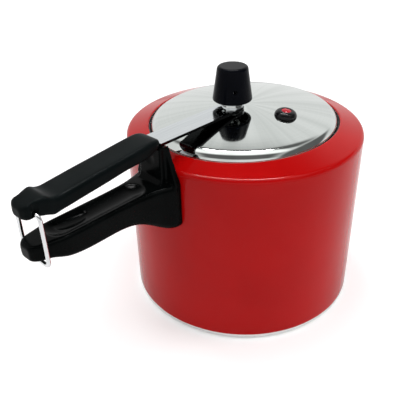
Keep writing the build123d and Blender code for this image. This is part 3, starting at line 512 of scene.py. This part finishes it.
@dataclass(frozen=True)
class PotShape:
    """The pot's section, in metres and radians."""

    radius: float
    wall: float = 0.0024
    base: float = 0.0045
    base_round: float = 0.005
    inner_base_round: float = 0.007
    shoulder: float = 0.1594
    slope: float = math.radians(18.0)
    shoulder_round: float = 0.0045
    mouth: tuple[float, float] = (0.0862, 0.0813)
    lip: float = 0.001
    columns: int = 288

    def cone(self, radius: Value, depth: float = 0.0) -> Value:
        """Returns the shoulder's height at a distance from the axis, a depth below its skin."""
        rise = (self.radius - radius) * math.tan(self.slope)
        return self.shoulder + rise - depth / math.cos(self.slope)

    def build(self) -> bpy.types.Object:
        """Walks the section from the base out, over the lip and back in, for each angle.

        The lip's distance is the oval mouth's radius at that angle: one over the root of
        (cos a / half length) squared plus (sin a / half width) squared.

        Returns:
            The pot.
        """
        angles = np.linspace(0.0, 2 * math.pi, self.columns, endpoint=False)
        half_length, half_width = self.mouth
        mouth = 1 / np.hypot(np.cos(angles) / half_length, np.sin(angles) / half_width)
        lip = mouth[:, None] + self.lip
        tilt = math.degrees(self.slope)
        inner = self.radius - self.wall
        outer_bend = self.radius - self.shoulder_round
        inner_round = self.shoulder_round - self.wall
        inner_bend = inner - inner_round
        bend_z = self.cone(outer_bend, self.shoulder_round)
        inner_z = self.cone(inner_bend, self.wall + inner_round)
        lip_top = (lip, self.cone(lip, self.lip))
        lip_low = (lip, self.cone(lip, self.wall - self.lip))
        base_centre = (self.radius - self.base_round, self.base_round)
        floor_centre = (inner - self.inner_base_round, self.base + self.inner_base_round)
        shoulder = arc((outer_bend, bend_z), self.shoulder_round, 0, 90 - tilt, steps=12)
        lip_arc = arc(lip_top, self.lip, 90 - tilt, 180)
        lip_under = arc(lip_low, self.lip, 180, 270 - tilt)
        inside = arc((inner_bend, inner_z), inner_round, 90 - tilt, 0)
        stretches = [
            run((0, 0), (base_centre[0], 0), steps=8),
            arc(base_centre, self.base_round, -90, 0, steps=10),
            run((self.radius, self.base_round), (self.radius, bend_z), steps=24),
            shoulder,
            run(shoulder[..., -1:], lip_arc[..., :1], steps=10),
            lip_arc,
            lip_under,
            run(lip_under[..., -1:], inside[..., :1], steps=6),
            inside,
            run((inner, inner_z), (inner, floor_centre[1]), steps=12),
            arc(floor_centre, self.inner_base_round, 0, -90),
            run((floor_centre[0], self.base), (0, self.base), steps=8),
        ]
        return turned("enamelled_pot", stretches, angles)


@dataclass(frozen=True)
class LidShape:
    """The lid's section along its longer way, in metres and radians."""

    flange_radius: float
    crown: float
    foot: float
    oval: float
    flange_reach: float = 0.0056
    flange_thickness: float = 0.0024
    thickness: float = 0.0022
    roll: float = 0.0105
    brow: float = math.radians(11.9)
    columns: int = 288

    def build(self) -> bpy.types.Object:
        """Walks down the dome, round the roll, down the neck, round the flange and back.

        The dome's height over a distance r is its centre plus the root of radius squared
        less r squared, and it meets the roll where both slope by the brow's angle.

        Returns:
            The lid.
        """
        neck = self.flange_radius - self.flange_reach
        roll_x = neck - self.roll
        roll_z = self.crown - self.roll - roll_x * math.tan(self.brow / 2)
        dome = self.roll + roll_x / math.sin(self.brow)
        flange_top = self.foot + self.flange_thickness
        tilt = math.degrees(self.brow)
        skin = [
            arc((0, self.crown - dome), dome, 90, 90 - tilt, steps=40),
            arc((roll_x, roll_z), self.roll, 90 - tilt, 0, steps=20),
        ]
        lining = [
            arc((roll_x, roll_z), self.roll - self.thickness, 0, 90 - tilt, steps=12),
            arc((0, self.crown - dome), dome - self.thickness, 90 - tilt, 90, steps=20),
        ]
        flange = [
            run((neck, roll_z), (neck, flange_top)),
            run((neck, flange_top), (self.flange_radius, flange_top), steps=2),
            run((self.flange_radius, flange_top), (self.flange_radius, self.foot)),
            run((self.flange_radius, self.foot), (neck - self.thickness, self.foot), steps=3),
            run((neck - self.thickness, self.foot), (neck - self.thickness, roll_z)),
        ]
        angles = np.linspace(0.0, 2 * math.pi, self.columns, endpoint=False)
        return turned("domed_lid", [*skin, *flange, *lining], angles, self.oval)


# ------------------------------------------------------------------ finishes


@dataclass(frozen=True)
class Finish:
    """What every finish has: a name and the effects it may use."""

    name: str
    effects: Effects

    def build(self) -> bpy.types.Material:
        """Makes the material; each finish has its own way."""
        raise NotImplementedError

    def handled(self, shader: Shader, scale: float, least: float, most: float) -> Value:
        """Places the handled gloss and returns its roughness.

        Args:
            shader: The tree it goes into.
            scale: Patches per metre.
            least: Least roughness.
            most: Greatest roughness.

        Returns:
            The roughness socket.
        """
        inputs = {"Vector": shader.here(), "Scale": scale, "Least": least, "Most": most}
        return shader.use(self.effects.smudge, inputs).outputs[0]


@dataclass(frozen=True)
class Enamel(Finish):
    """Red gloss enamel outside, bare aluminium inside, at the lip and under the base."""

    shape: PotShape
    red: Colour = (0.44, 0.0026, 0.0026)
    deep_red: Colour = (0.40, 0.0018, 0.0018)
    bare: Colour = (0.90, 0.90, 0.89)
    bare_foot: float = 0.0058
    foot_blur: float = 0.0001
    foot_waver: float = 0.0006
    least: float = 0.07
    most: float = 0.11
    bare_rough: float = 0.22
    turned_share: float = 0.6
    specular: float = 0.14
    relief: float = 0.12
    depth: float = 0.0004

    def _bare(self, shader: Shader, distance: Value, height: Value) -> bpy.types.NodeSocket:
        """Marks where metal shows: inside the wall and the shoulder, and at the foot.

        Args:
            shader: The tree the nodes go into.
            distance: Distance from the pot's axis.
            height: Height above the floor.

        Returns:
            A mask that is 1 on bare metal.
        """
        shape = self.shape
        slope = math.tan(shape.slope)
        crest = shape.shoulder + shape.radius * slope - shape.wall / 2 / math.cos(shape.slope)
        inside_wall = shader.math("LESS_THAN", distance, shape.radius - shape.wall / 2)
        ceiling = shader.math("SUBTRACT", crest, shader.math("MULTIPLY", distance, slope))
        below = shader.math("LESS_THAN", height, ceiling)
        inside = shader.math("MULTIPLY", inside_wall, below)
        drift = shader.math("SUBTRACT", shader.noise(shader.here(), scale=90.0), 0.5)
        edge = shader.math("ADD", height, shader.math("MULTIPLY", drift, self.foot_waver))
        foot = shader.ramp(edge, self.bare_foot + self.foot_blur, self.bare_foot - self.foot_blur)
        return shader.math("MAXIMUM", inside, foot)

    def build(self) -> bpy.types.Material:
        """Mixes enamel and bare metal, each with its own gloss and relief.

        Returns:
            The material.
        """
        material, shader = blank_material(self.name)
        here = shader.here()
        rings = shader.use(self.effects.rings, {"Vector": here, "Density": 1600.0})
        height = shader.add("SeparateXYZ", {0: here}).outputs[2]
        bare = self._bare(shader, rings.outputs["Distance"], height)
        cloud = shader.ramp(shader.noise(here, scale=14.0, detail=3.0), *PATCHES)
        red = shader.mix(cloud, self.red, self.deep_red)
        gloss = self.handled(shader, 25.0, self.least, self.most)
        rough = shader.math("ADD", gloss, shader.math("MULTIPLY", bare, self.bare_rough))
        skin = shader.use(
            self.effects.skin, {"Vector": here, "Pebbles": 260.0, "Waves": 22.0, "Blend": 0.10}
        )
        turned_face = shader.math("MULTIPLY", rings.outputs["Height"], bare)
        turned_face = shader.math("MULTIPLY", turned_face, self.turned_share)
        height_map = shader.math("ADD", skin.outputs[0], turned_face)
        shader.surface(
            {
                "Base Color": shader.mix(bare, red, self.bare),
                "Metallic": bare,
                "Roughness": rough,
                "IOR": 1.5,
                "Specular IOR Level": self.specular,
                "Normal": shader.bump(height_map, self.relief, self.depth),
            }
        )
        return material


@dataclass(frozen=True)
class SpunMetal(Finish):
    """Metal with rings round an upright axis, such as the lid and turned parts."""

    colour: Colour = (0.80, 0.81, 0.80)
    # The colour that the rings' tone and the painted sheen mix towards.
    dark: Colour = (0.62, 0.63, 0.63)
    centre_x: float = 0.0
    oval: float = 1.0
    density: float = 900.0
    least: float = 0.10
    most: float = 0.20
    depth: float = 0.00005
    relief: float = 0.4
    rings_full: tuple[float, float] = (0.30, 0.70)
    ring_tone: float = 0.35
    # Painted sheen: share of radial bands of tone that stand in for the shine of spun metal.
    painted_sheen_tone: float = 0.0

    def build(self) -> bpy.types.Material:
        """Lets the rings carry a fine relief and a slight change of tone, and paints sheen as
        radial bands of tone.

        Returns:
            The material.
        """
        material, shader = blank_material(self.name)
        place = {"Centre X": self.centre_x, "Oval": self.oval, "Density": self.density}
        rings = shader.use(self.effects.rings, {"Vector": shader.here(), **place})
        height, painted_sheen_noise = rings.outputs["Height"], rings.outputs["Streaks"]
        ring = shader.math("MULTIPLY", shader.ramp(height, *self.rings_full), self.ring_tone)
        # Painted sheen: radial bands of lighter and darker colour fanning out from the axis.
        painted_sheen = shader.math("MULTIPLY", shader.ramp(painted_sheen_noise, *PATCHES), self.painted_sheen_tone)
        tone = shader.math("ADD", ring, painted_sheen, clamp=True)
        shader.surface(
            {
                "Base Color": shader.mix(tone, self.colour, self.dark),
                "Metallic": 1.0,
                "Roughness": self.handled(shader, 30.0, self.least, self.most),
                "Normal": shader.bump(height, self.relief, self.depth),
            }
        )
        return material


@dataclass(frozen=True)
class DrawnMetal(Finish):
    """Metal with straight grain, such as the bar, the plates and the wire."""

    colour: Colour = (0.62, 0.65, 0.68)
    dark: Colour = (0.45, 0.47, 0.50)
    grain: Axis = Axis.X
    fine: float = 1100.0
    least: float = 0.14
    most: float = 0.24
    depth: float = 0.00004
    relief: float = 0.5
    stretch: float = 120.0
    line_tone: float = 0.5
    lines_full: tuple[float, float] = (0.35, 0.7)
    # Painted shade: the colour that faces which do not look up are darkened to, or None for none.
    scale: Colour | None = None
    # Upward parts of the normal over which the painted shade fades out.
    looks_up: tuple[float, float] = (0.55, 0.8)

    def build(self) -> bpy.types.Material:
        """Stretches noise along the grain for relief and tone.

        Where a scale colour is given, it is painted shade: faces that do not look up are darkened
        to it.

        Returns:
            The material.
        """
        material, shader = blank_material(self.name)
        stretch = [self.fine] * 3
        stretch[self.grain.value] = self.fine / self.stretch
        drawn = shader.use(self.effects.grain, {"Vector": shader.here(), "Stretch": stretch})
        lines = drawn.outputs[0]
        tone = shader.math("MULTIPLY", shader.ramp(lines, *self.lines_full), self.line_tone)
        colour = shader.mix(tone, self.colour, self.dark)
        # Painted shade: faces that do not look up are mixed towards the scale colour.
        if self.scale is not None:
            normal = shader.add("NewGeometry").outputs["True Normal"]
            upward = shader.add("SeparateXYZ", {0: normal}).outputs[2]
            colour = shader.mix(shader.ramp(upward, *self.looks_up), self.scale, colour)
        shader.surface(
            {
                "Base Color": colour,
                "Metallic": 1.0,
                "Roughness": self.handled(shader, 60.0, self.least, self.most),
                "Normal": shader.bump(lines, self.relief, self.depth),
            }
        )
        return material


@dataclass(frozen=True)
class Moulding(Finish):
    """Moulded phenolic, rubber or plastic: one colour with a skin and handled gloss."""

    colour: Colour = (0.0018, 0.0032, 0.0034)
    dull: Colour = (0.0034, 0.0050, 0.0052)
    least: float = 0.30
    most: float = 0.42
    pebbles: float = 1800.0
    waves: float = 70.0
    blend: float = 0.35
    depth: float = 0.0002
    relief: float = 0.25
    specular: float = 0.5
    dust: tuple[float, float] = (0.35, 0.75)

    def build(self) -> bpy.types.Material:
        """Greys the colour a little where the noise is high, as dust and touch do.

        Returns:
            The material.
        """
        material, shader = blank_material(self.name)
        here = shader.here()
        dusty = shader.ramp(shader.noise(here, scale=55.0, detail=4.0, rough=0.6), *self.dust)
        sizes = {"Pebbles": self.pebbles, "Waves": self.waves, "Blend": self.blend}
        skin = shader.use(self.effects.skin, {"Vector": here, **sizes})
        shader.surface(
            {
                "Base Color": shader.mix(dusty, self.colour, self.dull),
                "Roughness": self.handled(shader, 45.0, self.least, self.most),
                "Specular IOR Level": self.specular,
                "Normal": shader.bump(skin.outputs[0], self.relief, self.depth),
            }
        )
        return material


# ------------------------------------------------------------------ sub-assemblies


def dress(finish: Finish, *names: str) -> None:
    """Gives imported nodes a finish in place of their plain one.

    Args:
        finish: What they are made of.
        *names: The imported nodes.
    """
    material = finish.build()
    for name in names:
        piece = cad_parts[name]
        piece.data.materials.clear()
        piece.data.materials.append(material)
        LOG.info("dressed %s with %s", name, finish.name)


@dataclass
class Vessel:
    """The pot and the plate and rivets that carry its handle."""

    effects: Effects

    def build(self) -> None:
        """Turns the pot and enamels it."""
        low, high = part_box("pot_body")
        shape = PotShape(radius=(high[0] - low[0]) / 2)
        stands_for(shape.build(), "pot_body", Body.POT, Enamel("red_enamel", self.effects, shape))

    def dress(self) -> None:
        """Gives the small metal its own finishes."""
        plate = DrawnMetal("pressed_plate", self.effects, grain=Axis.Z, least=0.28, most=0.4)
        zinc = DrawnMetal("zinc_fixings", self.effects, least=0.28, most=0.4)
        rivet = SpunMetal("rivet_metal", self.effects, least=0.3, most=0.42)
        dress(plate, "handle_bracket", "bracket_nuts")
        dress(zinc, "lower_handle_screws", "lower_handle_washers")
        dress(rivet, "bracket_rivets")


@dataclass
class Handles:
    """The two moulded handles and the wire that holds them together."""

    effects: Effects
    voxel: float = 0.0007
    rounds: int = 6

    def build(self) -> None:
        """Draws a moulded skin over each handle, satin above and glossier below."""
        satin = Moulding("satin_phenolic", self.effects, least=0.30, most=0.40, specular=0.035)
        upper = moulded("upper_grip", "upper_handle", self.voxel, self.rounds)
        stands_for(upper, "upper_handle", Body.LID, satin)
        gloss = Moulding(
            "gloss_phenolic",
            self.effects,
            colour=(0.0010, 0.0014, 0.0014),
            dull=(0.0024, 0.0032, 0.0032),
            least=0.16,
            most=0.24,
            blend=0.12,
            relief=0.15,
            specular=0.035,
        )
        lower = moulded("lower_grip", "lower_handle", self.voxel, self.rounds)
        stands_for(lower, "lower_handle", Body.POT, gloss)

    def dress(self) -> None:
        """Gives the wire, the screws and the inserts their metals."""
        wire = DrawnMetal(
            "bright_wire",
            self.effects,
            colour=(0.82, 0.83, 0.84),
            dark=(0.66, 0.67, 0.68),
            grain=Axis.Z,
            least=0.1,
            most=0.18,
        )
        zinc = DrawnMetal("zinc_screws", self.effects, least=0.25, most=0.35)
        brass = SpunMetal("brass_inserts", self.effects, (0.72, 0.52, 0.22), (0.5, 0.34, 0.13))
        dress(wire, "handle_bail")
        dress(zinc, "upper_handle_screws")
        dress(brass, "upper_handle_inserts")


@dataclass
class Lid:
    """The lid with its bar, its stem and its safety valve."""

    effects: Effects

    def build(self) -> None:
        """Turns the lid and polishes it."""
        low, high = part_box("lid")
        length, width = high[0] - low[0], high[1] - low[1]
        oval = width / length
        shape = LidShape(flange_radius=length / 2, crown=high[2], foot=low[2], oval=oval)
        polish = SpunMetal(
            "polished_lid",
            self.effects,
            colour=(0.64, 0.67, 0.65),
            dark=(0.50, 0.53, 0.51),
            oval=oval,
            density=500.0,
            least=0.05,
            most=0.09,
            depth=0.00001,
            ring_tone=0.1,
            # Painted sheen on the lid: radial bands of tone in place of its shine.
            painted_sheen_tone=0.6,
        )
        stands_for(shape.build(), "lid", Body.LID, polish)

    def dress(self) -> None:
        """Polishes the bar and turns the small parts."""
        bar = DrawnMetal(
            "polished_bar",
            self.effects,
            colour=(0.60, 0.63, 0.64),
            dark=(0.48, 0.51, 0.53),
            least=0.08,
            most=0.14,
            # Painted shade on the bar's sides and underside, in near-black.
            scale=(0.03, 0.03, 0.032),
        )
        steel = SpunMetal(
            "turned_steel", self.effects, centre_x=STEM_X, density=3000.0, least=0.12, most=0.2
        )
        rubber = Moulding(
            "seal_rubber",
            self.effects,
            colour=(0.02, 0.02, 0.022),
            dull=(0.035, 0.035, 0.036),
            least=0.5,
            most=0.65,
        )
        button = Moulding(
            "valve_rubber",
            self.effects,
            colour=(0.004, 0.004, 0.0045),
            dull=(0.007, 0.007, 0.0075),
            least=0.14,
            most=0.22,
            blend=0.12,
            relief=0.1,
            specular=0.2,
        )
        red = Moulding(
            "red_indicator",
            self.effects,
            colour=(0.46, 0.010, 0.024),
            dull=(0.36, 0.006, 0.016),
            least=0.22,
            most=0.32,
            blend=0.15,
            relief=0.1,
            specular=0.3,
        )
        dress(bar, "lid_bar")
        dress(steel, "vent_stem", "stem_nut", "stem_washer", "bar_spacer")
        dress(rubber, "lid_gasket", "stem_seal")
        dress(button, "safety_valve_body")
        dress(red, "safety_pin")


@dataclass
class Weight:
    """The pressure weight on the stem."""

    effects: Effects
    voxel: float = 0.0004
    rounds: int = 3

    def build(self) -> None:
        """Draws a moulded skin over the cap."""
        satin = Moulding(
            "weight_phenolic",
            self.effects,
            colour=(0.0010, 0.0014, 0.0030),
            dull=(0.0018, 0.0022, 0.0040),
            least=0.16,
            most=0.22,
            blend=0.15,
            relief=0.12,
            specular=0.045,
        )
        cap = moulded("weight_grip", "weight_cap", self.voxel, self.rounds)
        stands_for(cap, "weight_cap", Body.WEIGHT, satin)

    def dress(self) -> None:
        """Colours the core that shows at the vents near-black as painted shade, and polishes the
        clip.
        """
        # Painted shade: the core and the needle are near-black so that the vents look shaded
        # inside.
        core = SpunMetal(
            "painted_shade_core",
            self.effects,
            colour=(0.05, 0.05, 0.055),
            dark=(0.03, 0.03, 0.032),
            centre_x=STEM_X,
            density=3000.0,
            least=0.35,
            most=0.5,
        )
        clip = SpunMetal("clip_steel", self.effects, centre_x=STEM_X, least=0.15, most=0.25)
        dress(core, "weight_core", "weight_needle")
        dress(clip, "weight_clip")


# ------------------------------------------------------------------ studio


@dataclass(frozen=True)
class Lamp:
    """A soft rectangular lamp: where it hangs, where it points, its sides and its watts."""

    name: str
    place: Colour
    target: Colour
    sides: tuple[float, float]
    power: float

    def hang(self) -> None:
        """Adds the lamp to the scene."""
        data = bpy.data.lights.new(self.name, "AREA")
        data.shape = "RECTANGLE"
        data.size, data.size_y = self.sides
        data.energy = self.power
        lamp = bpy.data.objects.new(self.name, data)
        lamp.visible_glossy = False
        lamp.location = self.place
        aim = Vector(self.target) - Vector(self.place)
        lamp.rotation_euler = aim.to_track_quat("-Z", "Y").to_euler()
        bpy.context.scene.collection.objects.link(lamp)


@dataclass(frozen=True)
class Stretch:
    """A stretch of a quantity: where it starts, is full, begins to fade and is gone."""

    start: float
    full: float
    fading: float
    gone: float

    def mask(self, shader: Shader, value: Value, other: Value = None) -> bpy.types.NodeSocket:
        """Returns 1 inside the stretch and 0 outside, with soft ends.

        Args:
            shader: The tree the nodes go into.
            value: The quantity.
            other: The quantity that the far end is read from, if it is another one.

        Returns:
            The mask's socket.
        """
        rise = shader.ramp(value, self.start, self.full)
        fall = shader.ramp(value if other is None else other, self.gone, self.fading)
        return shader.math("MULTIPLY", rise, fall)


@dataclass(frozen=True)
class Room:
    """The room that polished surfaces show, by direction.

    Height is the angle over the object in the plane of the view: 0 at the far horizon, 90
    overhead and 180 at the horizon behind the camera.  Aside is the sideways part of the
    direction, from -1 to 1.  White is 1.  A bright tube with a soft glow behind it hangs high
    between two dark stretches, and one side of the room is dark as well.
    """

    far_side: tuple[float, float] = (0.777, 0.629)
    middle: tuple[float, float] = (0.8, 0.5)
    rising: Stretch = Stretch(42.0, 62.0, 70.0, 78.0)
    behind: Stretch = Stretch(104.0, 116.0, 142.0, 152.0)
    beside: Stretch = Stretch(20.0, 40.0, 150.0, 170.0)
    beside_from: tuple[float, float] = (-0.62, -0.75)
    lean: float = 60.0
    lean_from: float = -0.3
    shade: float = 0.85
    glow: Stretch = Stretch(76.0, 84.0, 100.0, 110.0)
    glow_strength: float = 0.7
    tube: Stretch = Stretch(70.2, 71.0, 75.0, 77.0)
    tube_aside: Stretch = Stretch(-0.28, -0.25, 0.29, 0.30)
    tube_strength: float = 40.0

    def directions(self, shader: Shader) -> tuple[bpy.types.NodeSocket, bpy.types.NodeSocket]:
        """Reads the direction that is looked at.

        Args:
            shader: The world's tree.

        Returns:
            Its height in degrees, and its sideways part.
        """
        incoming = shader.add("NewGeometry").outputs["Incoming"]
        x, y, z = shader.add("SeparateXYZ", {0: incoming}).outputs
        far_x, far_y = self.far_side
        parts = [
            shader.math("MULTIPLY", part, share)
            for part, share in ((x, -far_x), (y, -far_y), (x, far_y), (y, -far_x), (z, -1.0))
        ]
        ahead = shader.math("ADD", parts[0], parts[1])
        aside = shader.math("ADD", parts[2], parts[3])
        height = shader.math("DEGREES", shader.math("ARCTAN2", parts[4], ahead))
        return height, aside

    def _dark(self, shader: Shader, height: Value, aside: Value, middle: Value) -> Value:
        """Marks where the room is dark: ahead, behind the camera and beside.

        Towards the dark side, the stretch ahead reaches higher, by the lean in degrees for
        each unit aside past its start.

        Args:
            shader: The world's tree.
            height: The direction's height.
            aside: The direction's sideways part.
            middle: Mask of the room's middle.

        Returns:
            A mask that is 1 in the dark.
        """
        leant = shader.math("MULTIPLY", aside, self.lean)
        past = shader.math("SUBTRACT", self.lean_from * self.lean, leant)
        leaning = shader.math("SUBTRACT", height, shader.math("MAXIMUM", past, 0.0))
        stretches = shader.math(
            "ADD", self.rising.mask(shader, height, leaning), self.behind.mask(shader, height)
        )
        beside = shader.math(
            "MULTIPLY", shader.ramp(aside, *self.beside_from), self.beside.mask(shader, height)
        )
        return shader.math("MAXIMUM", shader.math("MULTIPLY", stretches, middle), beside)

    def brightness(self, shader: Shader) -> bpy.types.NodeSocket:
        """Takes the dark stretches from white, and adds the glow and the tube.

        Args:
            shader: The world's tree.

        Returns:
            The brightness, where 1 is white.
        """
        height, aside = self.directions(shader)
        middle = shader.ramp(shader.math("ABSOLUTE", aside), *self.middle)
        glow = shader.math("MULTIPLY", self.glow.mask(shader, height), middle)
        tube = shader.math(
            "MULTIPLY", self.tube.mask(shader, height), self.tube_aside.mask(shader, aside)
        )
        shade = shader.math("MULTIPLY", self._dark(shader, height, aside, middle), self.shade)
        glowing = shader.math("ADD", shader.math("MULTIPLY", glow, self.glow_strength), 1.0)
        room = shader.math("SUBTRACT", glowing, shade)
        return shader.math("ADD", room, shader.math("MULTIPLY", tube, self.tube_strength))


@dataclass
class Studio:
    """Pale floor, soft lamps, the room that reflections show, and the camera."""

    eye: Colour = (-0.3621, -0.2930, 0.3680)
    forward: Colour = (0.6120, 0.5910, -0.5255)
    side: Colour = (0.6947, -0.7193, 0.0)
    roll: float = -1.547
    lens: float = 51.08
    sensor: float = 36.0
    world_strength: float = 0.62
    floor_side: float = 6.0
    floor_tone: float = 0.9
    floor_lift: float = 0.24
    room: Room = Room()
    lamps: Sequence[Lamp] = field(
        default_factory=lambda: (
            Lamp("overhead", (-0.10, -0.05, 1.50), (0.0, 0.0, 0.1), (0.9, 0.9), 8.0),
            Lamp("fill", (0.9, -1.2, 0.9), (0.0, 0.0, 0.1), (0.8, 0.8), 8.5),
            Lamp("back", (0.3, 1.2, 1.1), (0.0, 0.0, 0.1), (1.0, 0.8), 6.0),
        )
    )

    def floor(self) -> None:
        """Lays a pale floor that keeps the shadow and is lifted a little for the camera."""
        reach = self.floor_side / 2
        corners = [(-reach, -reach, 0), (reach, -reach, 0), (reach, reach, 0), (-reach, reach, 0)]
        mesh = bpy.data.meshes.new("floor")
        mesh.from_pydata(corners, [], [(0, 1, 2, 3)])
        plane = bpy.data.objects.new("floor", mesh)
        bpy.context.scene.collection.objects.link(plane)
        material, shader = blank_material("pale_floor")
        seen = shader.add("LightPath").outputs["Is Camera Ray"]
        shader.surface(
            {
                "Base Color": (self.floor_tone, self.floor_tone, self.floor_tone, 1.0),
                "Roughness": 0.9,
                "Specular IOR Level": 0.0,
                "Emission Color": (1.0, 1.0, 1.0, 1.0),
                "Emission Strength": shader.math("MULTIPLY", seen, self.floor_lift),
            }
        )
        mesh.materials.append(material)

    def light(self) -> None:
        """Hangs the lamps and gives the world its plain light and what reflections see."""
        for lamp in self.lamps:
            lamp.hang()
        world = bpy.data.worlds.new("studio")
        bpy.context.scene.world = world
        world.use_nodes = True
        world.node_tree.nodes.clear()
        shader = Shader(world.node_tree)
        colour = (1.0, 1.0, 1.0, 1.0)
        plain, white, room = (
            shader.add("Background", {"Color": colour, "Strength": strength}).outputs[0]
            for strength in (self.world_strength, 1.0, self.room.brightness(shader))
        )
        path = shader.add("LightPath").outputs
        seen = shader.math("MAXIMUM", path["Is Camera Ray"], path["Is Transmission Ray"])
        backdrop = shader.add("MixShader", {0: seen, 1: plain, 2: white}).outputs[0]
        mixed = shader.add("MixShader", {0: path["Is Glossy Ray"], 1: backdrop, 2: room}).outputs[0]
        output = shader.add("OutputWorld")
        world.node_tree.links.new(mixed, output.inputs["Surface"])

    def camera(self) -> None:
        """Sets the camera from its eye, its forward direction and its roll."""
        forward, side = Vector(self.forward).normalized(), Vector(self.side).normalized()
        up = side.cross(forward).normalized()
        turn = math.radians(self.roll)
        right = side * math.cos(turn) + up * math.sin(turn)
        top = up * math.cos(turn) - side * math.sin(turn)
        data = bpy.data.cameras.new("camera")
        data.lens = self.lens
        data.sensor_width = self.sensor
        camera = bpy.data.objects.new("camera", data)
        basis = Matrix((right, top, -forward)).transposed().to_4x4()
        camera.matrix_world = Matrix.Translation(self.eye) @ basis
        bpy.context.scene.collection.objects.link(camera)
        bpy.context.scene.camera = camera
        bpy.context.scene.view_settings.view_transform = "Standard"


def main() -> None:
    """Builds and dresses the cooker, then the studio."""
    logging.basicConfig(level=logging.INFO, format="%(name)s: %(message)s")
    effects = Effects()
    for assembly in (Vessel(effects), Handles(effects), Lid(effects), Weight(effects)):
        assembly.build()
        assembly.dress()
    studio = Studio()
    studio.floor()
    studio.light()
    studio.camera()


if __name__ == "__main__":
    main()
